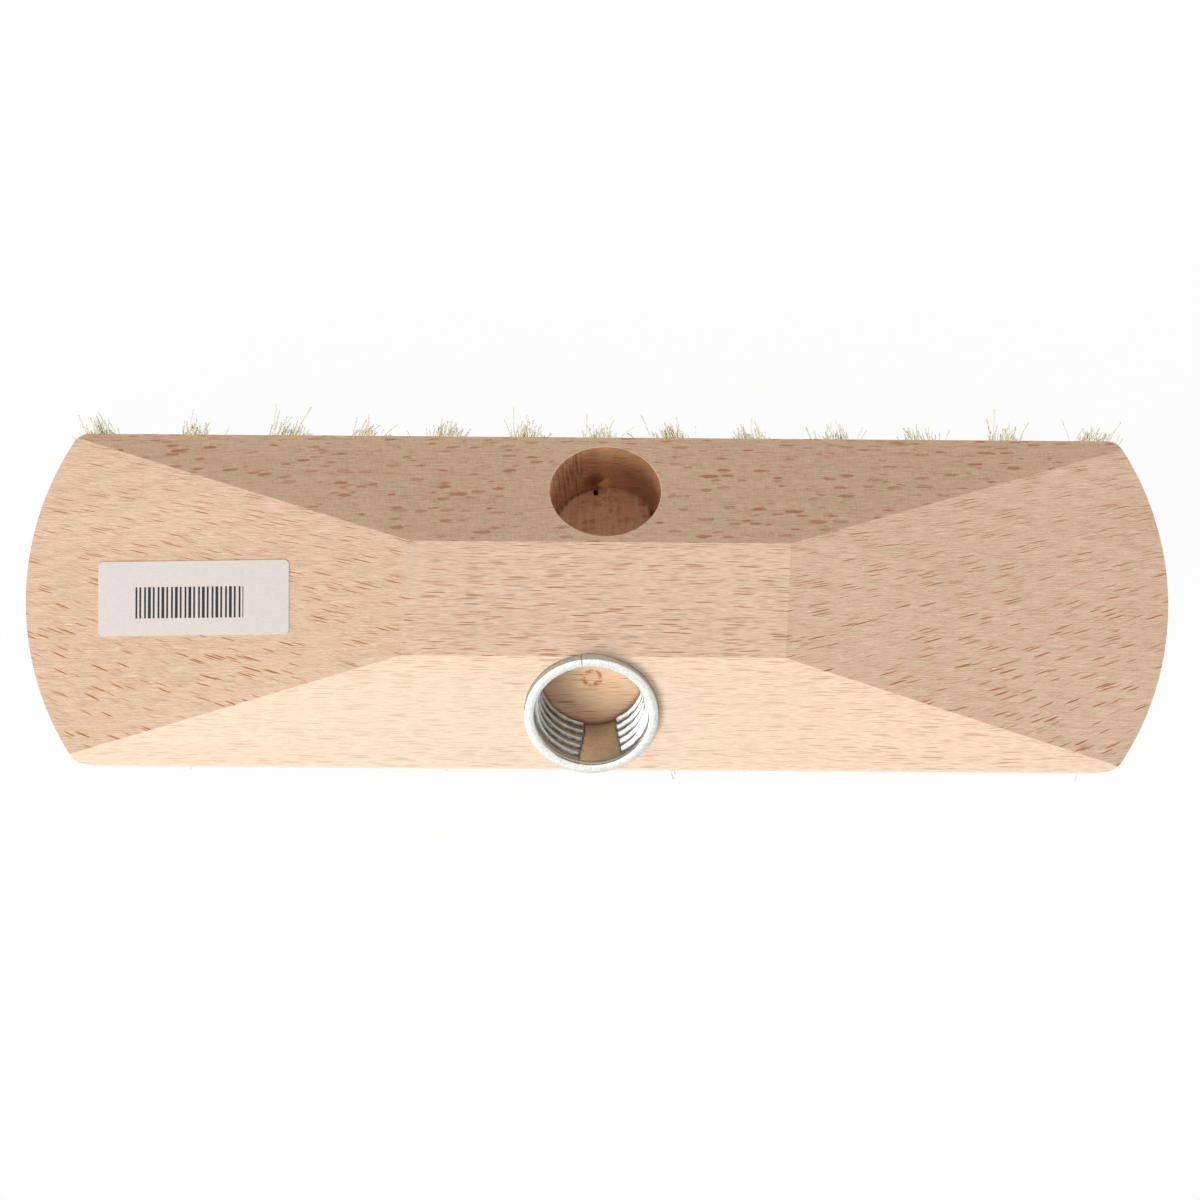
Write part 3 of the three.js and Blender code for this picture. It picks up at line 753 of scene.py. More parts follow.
class Nodes:
    """Adds nodes to one node tree. Their inputs take sockets or plain values, and their results are sockets."""

    def __init__(self, tree):
        self.tree = tree

    def feed(self, node, feeds):
        """Links or sets a node's inputs, by name or number."""
        for key, value in dict(feeds).items():
            if isinstance(value, NodeSocket):
                self.tree.links.new(value, node.inputs[key])
            else:
                node.inputs[key].default_value = value

    def put(self, kind, feeds=(), **options):
        """Adds a node, sets its options, feeds its inputs and returns its outputs."""
        node = self.tree.nodes.new(kind)
        for option, value in options.items():
            setattr(node, option, value)
        self.feed(node, feeds)
        return node.outputs

    def maths(self, operation, *values, clamp=False):
        """The result of a Math node."""
        return self.put("ShaderNodeMath", enumerate(values), operation=operation, use_clamp=clamp)[0]

    def plus(self, first, second):
        """The sum of two values."""
        return self.maths("ADD", first, second)

    def minus(self, first, second):
        """The difference of two values."""
        return self.maths("SUBTRACT", first, second)

    def times(self, first, *others):
        """The product of all values."""
        for other in others:
            first = self.maths("MULTIPLY", first, other)
        return first

    def total(self, start, *parts, clamp=False):
        """A start plus each part's value times its weight, kept within 0 and 1 at the end where clamp says so."""
        for value, weight in parts[:-1]:
            start = self.maths("MULTIPLY_ADD", value, weight, start)
        return self.maths("MULTIPLY_ADD", *parts[-1], start, clamp=clamp)

    def vector(self, operation, first, second, output="Vector"):
        """The result of a Vector Math node."""
        return self.put("ShaderNodeVectorMath", {0: first, 1: second}, operation=operation)[output]

    def split(self, vector):
        """The three parts of a vector."""
        return self.put("ShaderNodeSeparateXYZ", {0: vector})

    def join(self, x, y, z=0.0):
        """A vector from its three parts."""
        return self.put("ShaderNodeCombineXYZ", {0: x, 1: y, 2: z})[0]

    def object_place(self):
        """Place on the piece, in metres."""
        return self.put("ShaderNodeTexCoord")["Object"]

    def place(self):
        """Place on the piece, in millimetres."""
        return self.vector("MULTIPLY", self.object_place(), TO_MILLIMETRES)

    def stored(self, name):
        """A number that the piece keeps at each point."""
        return self.put("ShaderNodeAttribute", attribute_name=name)["Fac"]

    def noise(self, place, scale, detail=2.0, roughness=0.5, output="Fac"):
        """Noise about one unit across on a place that is scaled along each axis."""
        feeds = {"Vector": self.vector("MULTIPLY", place, scale), "Scale": 1.0}
        feeds.update({"Detail": detail, "Roughness": roughness})
        return self.put("ShaderNodeTexNoise", feeds)[output]

    def cells(self, place, scale):
        """Distance to the nearest of random points about one unit apart on a scaled place, and that point's three
        random numbers."""
        feeds = {"Vector": self.vector("MULTIPLY", place, scale), "Scale": 1.0, "Randomness": 1.0}
        found = self.put("ShaderNodeTexVoronoi", feeds)
        return found["Distance"], self.put("ShaderNodeSeparateColor", {0: found["Color"]})

    def ramp(self, value, from_low, from_high, to_low=0.0, to_high=1.0):
        """A value carried smoothly from one range to another."""
        feeds = {"Value": value, 1: from_low, 2: from_high, 3: to_low, 4: to_high}
        return self.put("ShaderNodeMapRange", feeds, interpolation_type="SMOOTHSTEP")[0]

    def blend(self, share, first, second, kind="MIX"):
        """Two colours mixed by a share."""
        feeds = {0: share, 6: opaque(first), 7: opaque(second)}
        return self.put("ShaderNodeMix", feeds, data_type="RGBA", blend_type=kind)[2]

    def tint(self, share, colour, by):
        """A colour multiplied by another, by a share."""
        return self.blend(share, colour, by, "MULTIPLY")

    def bump(self, height, strength, distance):
        """The normal of a surface that a height lifts by up to a distance in metres."""
        return self.put("ShaderNodeBump", {"Height": height, "Strength": strength, "Distance": distance})[0]


def new_material(name):
    """A material, its nodes and its Principled shader."""
    material = bpy.data.materials.new(name)
    material.use_nodes = True
    return material, Nodes(material.node_tree), material.node_tree.nodes["Principled BSDF"]


def beech_figure():
    """Node group of solid beech: rays, growth rings, streaks and pores round a pith that runs along the block, with
    painted shade on the rear slope and a pale sapwood tone on the front slope that is partly a painted highlight.
    Places are millimetres. A point's ring is its distance from the pith and its ray is its angle round it."""
    group = bpy.data.node_groups.new("beech figure", "ShaderNodeTree")
    for name in BEECH_TONES:
        group.interface.new_socket(name, in_out="INPUT", socket_type="NodeSocketColor")
    for name, kind in (("Colour", "Color"), ("Height", "Float"), ("Roughness", "Float")):
        group.interface.new_socket(name, in_out="OUTPUT", socket_type="NodeSocket" + kind)
    nodes = Nodes(group)
    tones = nodes.put("NodeGroupInput")
    place = nodes.place()
    wander = nodes.noise(place, (0.014, 0.05, 0.05), output="Color")
    wander = nodes.vector("SUBTRACT", wander, (0.5, 0.5, 0.5))
    bent = nodes.vector("ADD", place, nodes.vector("MULTIPLY", wander, (0.0, 2.4, 2.4)))
    x, y, z = nodes.split(bent)
    from_pith_y, from_pith_z = nodes.minus(y, PITH_Y), nodes.minus(z, PITH_Z)
    square = nodes.total(nodes.times(from_pith_y, from_pith_y), (from_pith_z, from_pith_z))
    ring = nodes.maths("SQRT", square)
    ray = nodes.times(nodes.maths("ARCTAN2", from_pith_z, from_pith_y), RAY_LENGTH)
    round_pith = nodes.join(x, ray, ring)

    # Where a face on the rear slope cuts along the rays, which is also where its shade is painted, and where a face
    # cuts across the grain
    normal_x, normal_y, normal_z = nodes.split(nodes.put("ShaderNodeNewGeometry")["Normal"])
    through = nodes.total(nodes.times(normal_y, from_pith_y), (normal_z, from_pith_z))
    through = nodes.maths("ABSOLUTE", nodes.maths("DIVIDE", through, ring))
    quarter_cut_and_shade = nodes.times(nodes.ramp(through, 0.60, 0.45), nodes.ramp(normal_y, 0.2, 0.4))
    across_grain = nodes.ramp(nodes.maths("ABSOLUTE", normal_x), 0.10, 0.17)

    # Rays cut across: short dark dashes, fewer and stronger across the grain
    ragged = nodes.minus(nodes.noise(place, (0.8, 3.6, 3.6), 2.0, 0.65), 0.5)
    near, (size, strength, kept) = nodes.cells(round_pith, (0.125, 3.9, 0.24))
    edge = nodes.total(0.22, (size, 0.18), (across_grain, 0.02))
    dash = nodes.ramp(nodes.total(near, (ragged, 0.10)), edge, nodes.times(edge, 0.6))
    strength = nodes.maths("MINIMUM", nodes.total(0.45, (strength, 0.55), (across_grain, 0.2)), 1.0)
    kept = nodes.maths("MAXIMUM", nodes.ramp(kept, 0.46, 0.50), nodes.minus(1.0, across_grain))
    dash = nodes.times(dash, strength, kept, nodes.minus(1.0, quarter_cut_and_shade))

    # Rays cut along: broad slanted flecks, in crowds
    slant = nodes.times(x, nodes.total(0.12, (x, -0.0009)))
    slanted = nodes.join(x, ray, nodes.plus(ring, slant))
    near, (size, strength, _) = nodes.cells(slanted, (0.17, 1.3, 0.48))
    crowd = nodes.noise(place, (0.05, 0.11, 0.11))
    edge = nodes.times(nodes.total(0.18, (size, 0.22)), nodes.plus(crowd, 0.5))
    patch = nodes.ramp(nodes.total(near, (ragged, 0.55)), edge, nodes.times(edge, 0.7))
    patch = nodes.times(patch, nodes.total(0.35, (strength, 0.45)), quarter_cut_and_shade)

    # Fine dashes between them
    near, (_, strength, _) = nodes.cells(round_pith, (0.16, 4.4, 0.35))
    fine_dash = nodes.times(nodes.ramp(near, 0.36, 0.2), strength)
    fine_dash = nodes.times(fine_dash, nodes.ramp(quarter_cut_and_shade, 0.0, 1.0, 0.55, 0.2))
    fine_dash = nodes.times(fine_dash, nodes.total(1.0, (across_grain, -0.2)))

    # Growth rings, streaks, strands, pores, blotches, cross bands and hairlines
    ring_wave = nodes.total(nodes.noise(place, (0.012, 0.09, 0.09)), (ring, 0.36))
    late = nodes.maths("POWER", nodes.maths("FRACT", ring_wave), 3.0)
    streak = nodes.noise(round_pith, (0.09, 2.6, 2.6), 4.0, 0.62)
    strand = nodes.noise(bent, (0.4, 5.0, 5.0), 1.0)
    pore = nodes.ramp(nodes.noise(bent, (0.9, 8.0, 8.0), 1.0), 0.58, 0.72)
    blotch = nodes.noise(place, (0.016, 0.06, 0.06))
    weave = nodes.noise(round_pith, (3.6, 0.6, 0.6), 2.0, 0.6)
    cross_bands = nodes.times(nodes.minus(weave, 0.5), quarter_cut_and_shade)
    hair = nodes.noise(nodes.join(x, y), (0.2, 4.4, 1.0), 2.0, 0.65)
    hair = nodes.times(nodes.minus(hair, 0.5), across_grain)
    strand_weight = nodes.total(1.6, (quarter_cut_and_shade, -0.1), (across_grain, -1.1))
    tone = nodes.total(
        nodes.times(streak, 0.4),
        (late, 0.12),
        (nodes.minus(blotch, 0.5), 0.35),
        (nodes.minus(strand, 0.5), strand_weight),
        (pore, 0.2),
        (cross_bands, 0.9),
        (across_grain, 0.2),
        (hair, 1.8),
        clamp=True,
    )

    colour = nodes.blend(tone, tones["Pale"], tones["Dark"])
    colour = nodes.blend(nodes.maths("MAXIMUM", dash, fine_dash), colour, tones["Fleck"])
    colour = nodes.blend(patch, colour, tones["Ray"])
    # Pale sapwood far from the pith, only on faces turned to the front and more to the left: partly the wood's own
    # tone, partly a painted highlight on the lit front slope
    sap_and_highlight = nodes.times(nodes.ramp(ring, 86.0, 95.0), nodes.ramp(normal_y, -0.2, -0.4))
    sap_and_highlight = nodes.times(sap_and_highlight, nodes.ramp(x, -20.0, 60.0, 0.5, 0.3))
    colour = nodes.blend(sap_and_highlight, colour, tones["Sap"])
    # Painted shade: the rear slope darker and browner
    colour = nodes.tint(quarter_cut_and_shade, colour, (0.85, 0.80, 0.735))
    height = nodes.total(nodes.times(pore, -0.35), (streak, 0.4), (strand, 0.5), (dash, -0.3), (hair, 2.0))
    roughness = nodes.total(0.46, (streak, 0.22), (patch, -0.12))
    nodes.put("NodeGroupOutput", {"Colour": colour, "Height": height, "Roughness": roughness})
    return group


def beech_material(settings, figure, name, bump, finish=None):
    """Beech from the shared figure, with its bump in millimetres. A finish is a function that changes its colour."""
    material, nodes, shader = new_material(name)
    tones = {tone: opaque(getattr(settings.colours, "beech_" + tone.lower())) for tone in BEECH_TONES}
    wood = nodes.put("ShaderNodeGroup", tones, node_tree=figure)
    colour = finish(nodes, wood["Colour"], settings.block) if finish else wood["Colour"]
    lift = nodes.bump(wood["Height"], 0.6, bump * MM)
    nodes.feed(shader, {"Base Color": colour, "Roughness": wood["Roughness"], "Normal": lift})
    nodes.feed(shader, {"Specular IOR Level": 0.22})
    return material


def handled_and_highlighted_edges(nodes, colour, block):
    """Sanded edges, a little paler: partly polish from handling, partly a painted highlight."""
    return nodes.blend(0.22, colour, (1.0, 0.93, 0.82))


def torn_holes(nodes, colour, block):
    """Tuft holes, with torn grain and scorched patches."""
    torn = nodes.noise(nodes.place(), (0.5, 1.3, 1.3), 4.0, 0.65)
    return nodes.tint(nodes.ramp(torn, 0.35, 0.75, 0.2, 0.8), colour, (0.55, 0.36, 0.23))


def bore_place(nodes, seat):
    """Place in a bore, in millimetres: along the block, across the slope and out of it, the same as a vector, and
    the radius, which is the root of the first two squared and added."""
    origin, axes = seat
    local = nodes.vector("SUBTRACT", nodes.object_place(), tuple(origin))
    local = nodes.vector("MULTIPLY", local, TO_MILLIMETRES)
    u, v, w = (nodes.vector("DOT_PRODUCT", local, tuple(axis), "Value") for axis in axes)
    radius = nodes.maths("SQRT", nodes.total(nodes.times(v, v), (u, u)))
    return u, v, w, nodes.join(u, v, w), radius


def drilled_floor(nodes, colour, block):
    """Clean bore of the sleeve, with its floor painted paler and warmer as painted light and darker towards its edge
    as painted shade, and a torn brown ring where the drill's centre ran on the floor.
    """
    _, _, _, spot, radius = bore_place(nodes, sleeve_seat(block))
    torn = nodes.noise(spot, (0.9, 1.4, 0.9), 3.0, 0.7)
    worn = nodes.noise(spot, (0.7, 0.7, 0.7), 2.0, 0.6)
    off_ring = nodes.maths("ABSOLUTE", nodes.total(nodes.minus(radius, 1.2), (worn, -1.2)))
    ring = nodes.times(nodes.ramp(off_ring, 0.75, 0.15), nodes.ramp(torn, 0.42, 0.58))
    # Painted light: the floor made paler and warmer than the wood, since little lamp light reaches it
    colour = nodes.blend(0.4, colour, (1.0, 0.78, 0.56))
    colour = nodes.tint(1.0, colour, (1.2, 1.08, 0.98))
    near, (_, strength, _) = nodes.cells(spot, (0.15, 2.3, 0.5))
    dash = nodes.times(nodes.ramp(near, 0.42, 0.2), strength)
    colour = nodes.blend(dash, colour, (0.56, 0.25, 0.11))
    # Painted shade towards the edge of the floor
    rim = nodes.ramp(radius, 9.6, 11.6, 0.0, 0.85)
    colour = nodes.tint(rim, colour, (0.45, 0.28, 0.17))
    return nodes.blend(ring, colour, (0.56, 0.25, 0.10))


def shaded_scorched_socket(nodes, colour, block):
    """Plain socket: warmer all over, its wall darker than its floor as painted shade and darker again towards the
    right, with streaks down the left wall that are partly marks and partly painted shade, painted shade in the corner
    round its floor, a scorched spot with torn fibre by the drill's pit, and stains on the floor."""
    u, v, w, spot, radius = bore_place(nodes, plain_seat(block))
    depth = block.plain_depth / MM
    above = nodes.plus(w, depth)
    wall = nodes.ramp(above, 0.15, 0.5)
    on_floor = nodes.minus(1.0, wall)
    streak = nodes.ramp(nodes.noise(spot, (2.0, 2.0, 0.06), 2.0, 0.6), 0.50, 0.66)
    on_left = nodes.times(wall, nodes.ramp(u, -1.0, -7.0))
    on_right = nodes.times(nodes.ramp(u, 1.0, 9.0), wall)
    colour = nodes.tint(1.0, colour, (1.0, 0.82, 0.67))
    # Painted shade: the wall darker than the floor, streaked on the left wall and darker again towards the right
    colour = nodes.tint(nodes.times(wall, 0.8), colour, (0.74, 0.67, 0.61))
    colour = nodes.tint(nodes.times(streak, on_left, 0.8), colour, (0.42, 0.34, 0.27))
    colour = nodes.tint(nodes.times(on_right, 0.8), colour, (0.66, 0.62, 0.55))
    ragged = nodes.noise(spot, (0.8, 0.8, 0.8), 3.0, 0.65)
    # Painted shade in the corner round the floor, stronger on the left and at the far right
    corner = nodes.maths("ABSOLUTE", nodes.total(nodes.minus(above, 0.30), (ragged, 0.5)))
    corner = nodes.times(nodes.ramp(corner, 0.5, 0.1), nodes.ramp(radius, 9.9, 10.5))
    side = nodes.plus(nodes.ramp(u, 3.0, -3.0, 0.25, 0.9), nodes.ramp(u, 8.6, 9.6))
    corner = nodes.maths("MULTIPLY", corner, side, clamp=True)
    colour = nodes.tint(corner, colour, (0.25, 0.15, 0.10))
    pale = nodes.noise(spot, (1.6, 0.12, 0.12), 2.0, 0.6)
    pale = nodes.times(on_floor, nodes.ramp(pale, 0.35, 0.65, 0.0, 0.4))
    colour = nodes.blend(pale, colour, (0.92, 0.62, 0.38))
    stain = nodes.times(nodes.ramp(ragged, 0.50, 0.62), nodes.ramp(nodes.maths("ABSOLUTE", u), 4.0, 1.0))
    stain = nodes.times(stain, nodes.times(on_floor, nodes.ramp(v, 0.0, 5.0)), 0.7)
    colour = nodes.blend(stain, colour, (0.46, 0.17, 0.06))
    away = nodes.vector("DISTANCE", spot, (-2.2, 10.2, 2.4 - depth), "Value")
    scorch = nodes.ramp(nodes.total(away, (ragged, 1.5)), 4.6, 1.4, 0.0, 0.85)
    colour = nodes.tint(scorch, colour, (0.36, 0.20, 0.12))
    lean = nodes.put("ShaderNodeMapping", {"Vector": spot, "Rotation": (0.0, -0.6, 0.0)})[0]
    tuft = nodes.ramp(nodes.noise(lean, (2.2, 0.6, 0.3), 1.0), 0.44, 0.54)
    away = nodes.vector("DISTANCE", spot, (0.1, 10.7, 1.6 - depth), "Value")
    tuft = nodes.times(tuft, nodes.ramp(away, 2.2, 1.0), 0.95)
    return nodes.blend(tuft, colour, (0.90, 0.50, 0.20))


def galvanised_steel(colours):
    """Zinc coat: grainy, with faint crystals and shinier on the ribs; dull between them as painted shade, with a
    painted highlight on the bead and painted shade along the feet of the ribs.
    """
    material, nodes, shader = new_material("galvanised steel")
    place = nodes.place()
    _, (crystal, _, _) = nodes.cells(place, (0.8, 0.8, 0.8))
    cloud = nodes.noise(place, (0.9, 0.9, 0.9), 4.0, 0.65)
    grain = nodes.noise(place, (2.6, 2.6, 2.6), 2.0, 0.7)
    shine = nodes.total(
        nodes.times(cloud, 0.4),
        (crystal, 0.15),
        (nodes.minus(grain, 0.5), 1.5),
        (nodes.stored("gloss_and_shade"), 0.6),
        clamp=True,
    )
    # Dull zinc between the ribs is painted shade and full zinc on the bead a painted highlight; the clouds, crystals
    # and grain are the coat's own
    colour = nodes.blend(shine, np.multiply(colours.zinc, DULL_AND_SHADED_ZINC), colours.zinc)
    # Painted shade along the feet of the ribs, in the groove, under the bead and where the ribs stop
    painted_foot_shade = nodes.times(nodes.stored("foot"), nodes.ramp(cloud, 0.3, 0.6, 0.5, 0.95))
    colour = nodes.blend(painted_foot_shade, colour, (0.07, 0.06, 0.05))
    roughness = nodes.ramp(shine, 0.0, 1.0, 0.52, 0.34)
    lift = nodes.bump(nodes.total(nodes.times(cloud, 0.5), (grain, 0.6)), 0.5, 0.06 * MM)
    nodes.feed(shader, {"Base Color": colour, "Roughness": roughness, "Normal": lift, "Metallic": 1.0})
    return material


def label_paper(colours):
    """Coated paper with an even field of printed bars, whose widths swell and thin in a steady rhythm: a sine of
    the place along the label, less a slower sine, is ink where it is above 0."""
    material, nodes, shader = new_material("label paper")
    place = nodes.put("ShaderNodeUVMap", uv_map="paper")[0]
    u, v, _ = nodes.split(nodes.vector("MULTIPLY", place, TO_MILLIMETRES))
    wave, rhythm = (
        nodes.maths("SINE", nodes.times(u, 2 * np.pi / length)) for length in (BAR_SPACING, BAR_RHYTHM)
    )
    bar = nodes.ramp(nodes.minus(wave, nodes.times(rhythm, 0.55)), -0.06, 0.06)
    for value, low, high in ((u, FIELD_LEFT, FIELD_RIGHT), (v, FIELD_LOW, FIELD_HIGH)):
        bar = nodes.times(bar, nodes.maths("GREATER_THAN", value, low), nodes.maths("LESS_THAN", value, high))
    pulp = nodes.noise(place, (900.0, 2600.0, 1000.0), 3.0, 0.6)
    sheet = nodes.blend(nodes.ramp(pulp, 0.3, 0.7), colours.paper, np.multiply(colours.paper, 0.93))
    colour = nodes.blend(bar, sheet, colours.ink)
    roughness = nodes.ramp(pulp, 0.2, 0.8, 0.42, 0.56)
    lift = nodes.bump(pulp, 0.25, 0.02 * MM)
    nodes.feed(shader, {"Base Color": colour, "Roughness": roughness, "Normal": lift})
    return material


def plant_fibre(colours):
    """Cream fibres that differ from each other, with darker roots, streaks along them and a few brown ones."""
    material, nodes, shader = new_material("plant fibre")
    tone = nodes.stored("tone")
    streak = nodes.noise(nodes.place(), (3.2, 3.2, 0.22))
    share = nodes.total(tone, (nodes.minus(streak, 0.5), 0.9), clamp=True)
    colour = nodes.blend(share, colours.fibre_pale, colours.fibre_straw)
    brown = nodes.times(nodes.maths("GREATER_THAN", tone, 0.985), 0.7)
    colour = nodes.blend(brown, colour, (0.10, 0.07, 0.035))
    root = nodes.ramp(nodes.stored("along"), 0.0, 0.22, 0.45, 0.0)
    colour = nodes.tint(root, colour, (0.55, 0.45, 0.27))
    roughness = nodes.ramp(streak, 0.2, 0.8, 0.5, 0.72)
    nodes.feed(shader, {"Base Color": colour, "Roughness": roughness, "Specular IOR Level": 0.3})
    return material


def anchor_wire(colours):
    """Drawn flat wire with fine lines along it."""
    material, nodes, shader = new_material("anchor wire")
    lines = nodes.noise(nodes.place(), (0.4, 9.0, 9.0), 3.0, 0.6)
    colour = nodes.blend(lines, np.multiply(colours.zinc, 0.6), colours.zinc)
    roughness = nodes.ramp(lines, 0.2, 0.8, 0.5, 0.32)
    nodes.feed(shader, {"Base Color": colour, "Roughness": roughness, "Metallic": 1.0})
    return material


def studio_floor(colours):
    """Plain pale floor with the faintest mottle, which the camera and glossy surfaces see almost as white."""
    material, nodes, shader = new_material("studio floor")
    mottle = nodes.noise(nodes.object_place(), (3.0, 3.0, 3.0))
    colour = nodes.blend(mottle, colours.floor, np.multiply(colours.floor, 0.985))
    nodes.feed(shader, {"Base Color": colour, "Roughness": 0.9, "Specular IOR Level": 0.0})
    path = nodes.put("ShaderNodeLightPath")
    seen = nodes.times(nodes.maths("MAXIMUM", path["Is Camera Ray"], path["Is Glossy Ray"]), 0.95)
    white = nodes.put("ShaderNodeEmission", {"Color": WHITE, "Strength": 1.0})
    lifted = nodes.put("ShaderNodeMixShader", {0: seen, 1: shader.outputs[0], 2: white[0]})
    nodes.feed(material.node_tree.nodes["Material Output"], {"Surface": lifted[0]})
    return material


# Operators


class BRUSH_OT_wood_block(Operator):
    """Build the hipped beech block with its two sockets and its tuft holes"""

    bl_idname = "brush.wood_block"
    bl_label = "Wood Block"

    def execute(self, context):
        settings = context.scene.floor_brush
        block, sleeve, tufts = settings.block, settings.sleeve, settings.tufts
        figure = beech_figure()
        planed = beech_material(settings, figure, "planed beech", 0.05)
        eased = beech_material(settings, figure, "eased beech", 0.03, handled_and_highlighted_edges)
        bored = beech_material(settings, figure, "bored beech", 0.09, torn_holes)
        socket = beech_material(settings, figure, "socket beech", 0.09, shaded_scorched_socket)
        drilled = beech_material(settings, figure, "drilled beech", 0.06, drilled_floor)
        piece = add_piece("beech_block", *block_shell(block), planed, eased)
        easing = piece.modifiers.new("eased edges", "BEVEL")
        easing.width = block.easing
        easing.segments = 3
        easing.limit_method = "ANGLE"
        easing.angle_limit = np.radians(9.0)
        easing.material = 1
        work_in(piece)
        cut_away(piece, add_piece("mouth easing", *mouth_easing(block), eased))
        cut_away(piece, add_piece("plain bore", *plain_bore(block), socket))
        cut_away(piece, add_piece("sleeve bore", *sleeve_bore(block, sleeve), drilled))
        cut_away(piece, add_piece("tuft holes", *tuft_holes(block, tufts), bored))
        cut_away(piece, add_piece("drill breakthrough", *drill_breakthrough(block, tufts), bored))
        shade(piece, 7.0)
        settle(piece, "beech", "wood_block")
        return {"FINISHED"}


class BRUSH_OT_threaded_sleeve(Operator):
    """Build the rolled steel sleeve with its pressed thread"""

    bl_idname = "brush.threaded_sleeve"
    bl_label = "Threaded Sleeve"

    def execute(self, context):
        settings = context.scene.floor_brush
        points, faces, gloss_and_shade, foot = sleeve_surface(settings.block, settings.sleeve)
        piece = add_piece("steel_sleeve", points, faces, galvanised_steel(settings.colours))
        store(piece, "gloss_and_shade", gloss_and_shade)
        store(piece, "foot", foot)
        shade(piece, 40.0)
        settle(piece, "galvanised_steel", "threaded_sleeve")
        return {"FINISHED"}


class BRUSH_OT_paper_label(Operator):
    """Build the paper label on the left facet"""

    bl_idname = "brush.paper_label"
    bl_label = "Paper Label"

    def execute(self, context):
        settings = context.scene.floor_brush
        points, faces, paper = label_sheet(settings.block, settings.label)
        piece = add_piece("label_sheet", points, faces, label_paper(settings.colours))
        places = paper[read(piece.data.loops, "vertex_index", np.int32)].astype(np.float32)
        piece.data.uv_layers.new(name="paper").data.foreach_set("uv", places.reshape(-1))
        shade(piece, 30.0)
        settle(piece, "label_paper", "paper_label")
        return {"FINISHED"}


class BRUSH_OT_fibre_tufts(Operator):
    """Build the four rows of fibre tufts"""

    bl_idname = "brush.fibre_tufts"
    bl_label = "Fibre Tufts"

    def execute(self, context):
        settings = context.scene.floor_brush
        fibre = plant_fibre(settings.colours)
        for row, node in enumerate(ROW_NAMES):
            points, faces, tone, along = fibre_bundle(settings.block, settings.tufts, row)
            piece = add_piece(node.replace("tufts", "fibres"), points, faces, fibre)
            store(piece, "tone", tone)
            store(piece, "along", along)
            piece.data.shade_smooth()
            settle(piece, "plant_fibre", node)
        return {"FINISHED"}


class BRUSH_OT_wire_anchors(Operator):
    """Build the flat wire anchors inside the tuft holes"""

    bl_idname = "brush.wire_anchors"
    bl_label = "Wire Anchors"

    def execute(self, context):
        settings = context.scene.floor_brush
        points, faces = anchor_straps(settings.block, settings.tufts)
        piece = add_piece("wire_anchors", points, faces, anchor_wire(settings.colours))
        shade(piece, 40.0)
        settle(piece, "anchor_wire", *anchor_names)
        return {"FINISHED"}


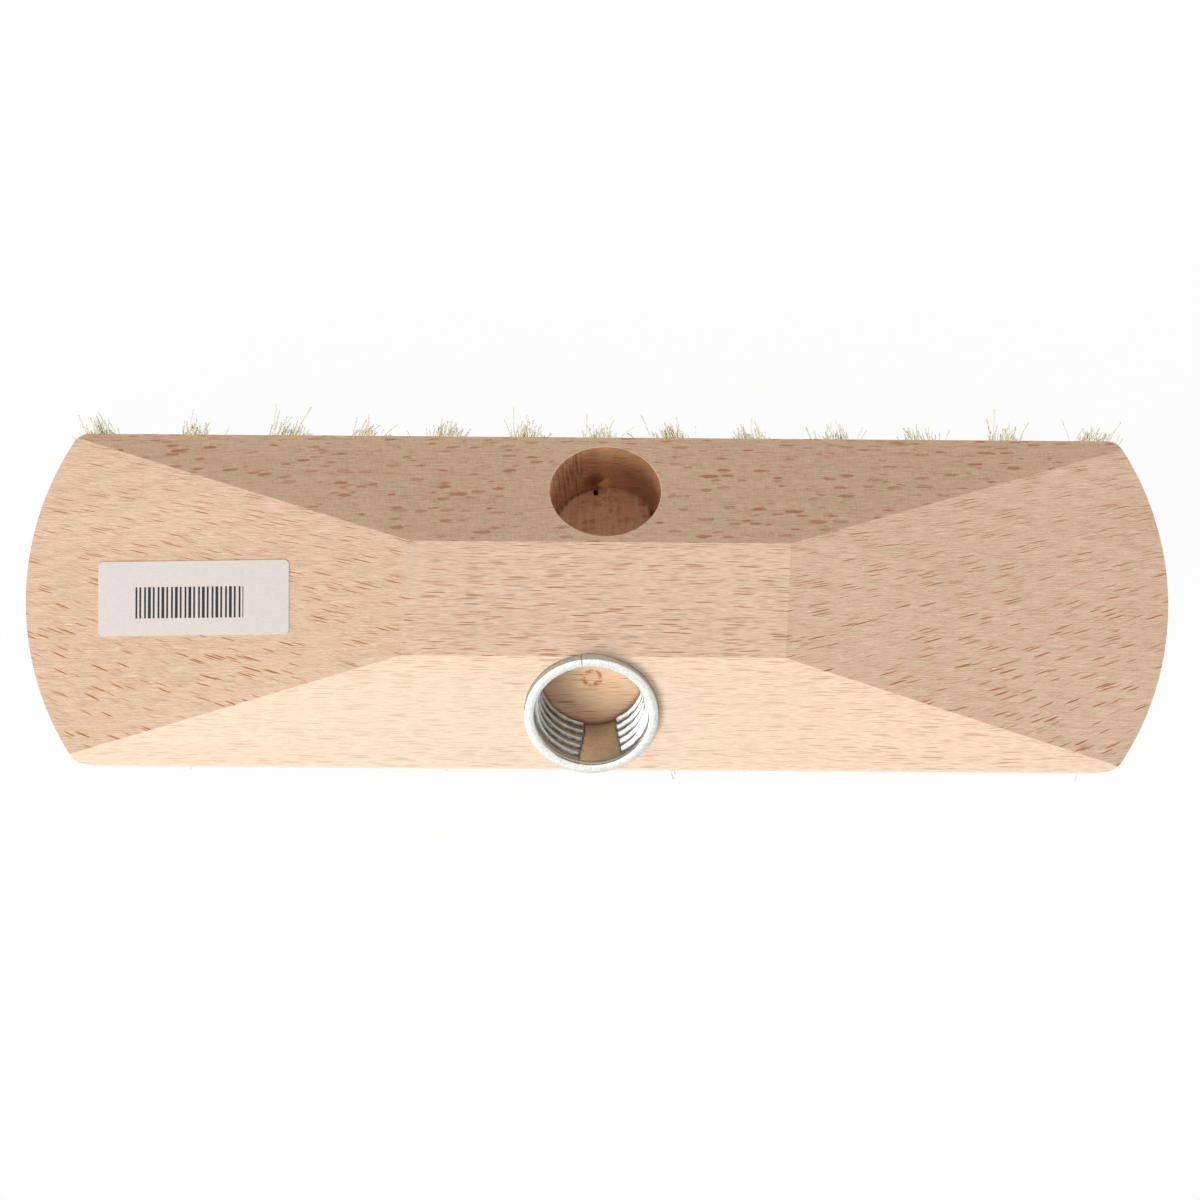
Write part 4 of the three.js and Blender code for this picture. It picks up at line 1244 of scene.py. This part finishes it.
class BRUSH_OT_stage(Operator):
    """Build the floor, the lamps, the world and the camera"""

    bl_idname = "brush.stage"
    bl_label = "Stage"

    def execute(self, context):
        settings = context.scene.floor_brush
        stage, block = settings.stage, settings.block
        context.scene.view_settings.view_transform = "Standard"
        half = stage.floor_size / 2
        sheet = np.array([[-half, -half, 0.0], [half, -half, 0.0], [half, half, 0.0], [-half, half, 0.0]])
        floor = add_piece("studio_floor", sheet, [np.arange(4)[None]], studio_floor(settings.colours))

        flat_top = block_seat + block.height * Z_AXIS
        rear_foot = block_seat + np.array([0.0, block.width / 2, -0.5 * settings.tufts.fibre_length])
        side_size = (1.2, 0.24)
        self.add_lamp("key lamp", flat_top, (-0.457, -0.736, 0.5), 1.4, (0.8, 0.8), stage.key_level)
        self.add_lamp("right fill lamp", flat_top, (0.98, 0.06, 0.1), 1.5, side_size, stage.fill_level)
        self.add_lamp("left fill lamp", flat_top, (-0.98, 0.06, 0.1), 1.5, side_size, stage.fill_level)
        self.add_lamp("rear strip lamp", rear_foot, (0.0, 1.0, -0.04), 0.13, (0.34, 0.02), stage.strip_level)
        self.set_sky(context.scene, stage)
        self.add_camera(context.scene, stage, flat_top)
        return {"FINISHED"}

    def add_lamp(self, name, target, towards, distance, size, level):
        """An area lamp whose power is the level times pi squared times the distance squared, which gives a face
        turned to it the light of a sky of that level."""
        towards = unit(np.array(towards))
        lamp = bpy.data.lights.new(name, "AREA")
        lamp.shape = "RECTANGLE"
        lamp.size, lamp.size_y = size
        lamp.energy = level * np.pi**2 * distance**2
        right = unit(np.cross(Z_AXIS, towards))
        place = target + towards * distance
        self.set_place(add_object(name, lamp), place, right, np.cross(towards, right), towards)

    def set_place(self, holder, place, right, up, back):
        """Turns an object to face away from back, at a place."""
        turn = np.eye(4)
        turn[:3] = np.stack([right, up, back, place], axis=1)
        holder.matrix_world = Matrix(turn.tolist())

    def set_sky(self, scene, stage):
        """Even light from all round, which the camera, glossy surfaces and clear ones see as white."""
        world = bpy.data.worlds.new("studio sky")
        scene.world = world
        world.use_nodes = True
        world.node_tree.nodes.clear()
        nodes = Nodes(world.node_tree)
        path = nodes.put("ShaderNodeLightPath")
        seen = nodes.maths("MAXIMUM", path["Is Glossy Ray"], path["Is Transmission Ray"])
        seen = nodes.maths("MAXIMUM", path["Is Camera Ray"], seen)
        light = nodes.put("ShaderNodeBackground", {"Color": WHITE, "Strength": stage.sky_level})
        white = nodes.put("ShaderNodeBackground", {"Color": WHITE, "Strength": 1.0})
        both = nodes.put("ShaderNodeMixShader", {0: seen, 1: light[0], 2: white[0]})
        nodes.put("ShaderNodeOutputWorld", {"Surface": both[0]})

    def add_camera(self, scene, stage, flat_top):
        """A camera almost straight above the flat top, at the picture's tilt and turn. Its lens is the picture's
        scale times the distance times the sensor's width over the picture's."""
        tilt, roll = stage.camera_tilt, stage.camera_roll
        back = np.array([0.0, -np.sin(tilt), np.cos(tilt)])
        north = np.array([0.0, np.cos(tilt), np.sin(tilt)])
        right = np.cos(roll) * X_AXIS + np.sin(roll) * north
        up = np.cos(roll) * north - np.sin(roll) * X_AXIS
        camera = bpy.data.cameras.new("camera")
        camera.sensor_width = SENSOR_WIDTH
        camera.lens = stage.pixels_per_metre * stage.camera_distance * SENSOR_WIDTH / PICTURE_WIDTH
        camera.clip_end = 20.0
        holder = add_object("camera", camera)
        aim = flat_top + stage.aim_right * right - stage.aim_front * up
        self.set_place(holder, aim + stage.camera_distance * back, right, up, back)
        scene.camera = holder


class BRUSH_PT_panel(Panel):
    """Sidebar panel that lists the brush's operators and sizes"""

    bl_label = "Floor Scrub Brush"
    bl_idname = "BRUSH_PT_panel"
    bl_space_type = "VIEW_3D"
    bl_region_type = "UI"
    bl_category = "Brush"

    def draw(self, context):
        settings = context.scene.floor_brush
        for operator in OPERATORS:
            self.layout.operator(operator.bl_idname)
        for name in BrushSettings.__annotations__:
            box = self.layout.box()
            box.label(text=name.capitalize())
            group = getattr(settings, name)
            for size in type(group).__annotations__:
                box.prop(group, size)


OPERATORS = (
    BRUSH_OT_wood_block,
    BRUSH_OT_threaded_sleeve,
    BRUSH_OT_paper_label,
    BRUSH_OT_fibre_tufts,
    BRUSH_OT_wire_anchors,
    BRUSH_OT_stage,
)
SETTINGS = (BlockSizes, SleeveSizes, LabelSizes, TuftSizes, FinishColours, StageSizes, BrushSettings)


def register():
    """Registers the settings, the operators and the panel."""
    for kind in SETTINGS + OPERATORS + (BRUSH_PT_panel,):
        bpy.utils.register_class(kind)
    bpy.types.Scene.floor_brush = PointerProperty(type=BrushSettings)


def unregister():
    """Takes the panel, the operators and the settings away again."""
    del bpy.types.Scene.floor_brush
    for kind in reversed(SETTINGS + OPERATORS + (BRUSH_PT_panel,)):
        bpy.utils.unregister_class(kind)


def main():
    """Builds the whole brush."""
    register()
    bpy.ops.brush.wood_block()
    bpy.ops.brush.threaded_sleeve()
    bpy.ops.brush.paper_label()
    bpy.ops.brush.fibre_tufts()
    bpy.ops.brush.wire_anchors()
    bpy.ops.brush.stage()


if __name__ == "__main__":
    main()
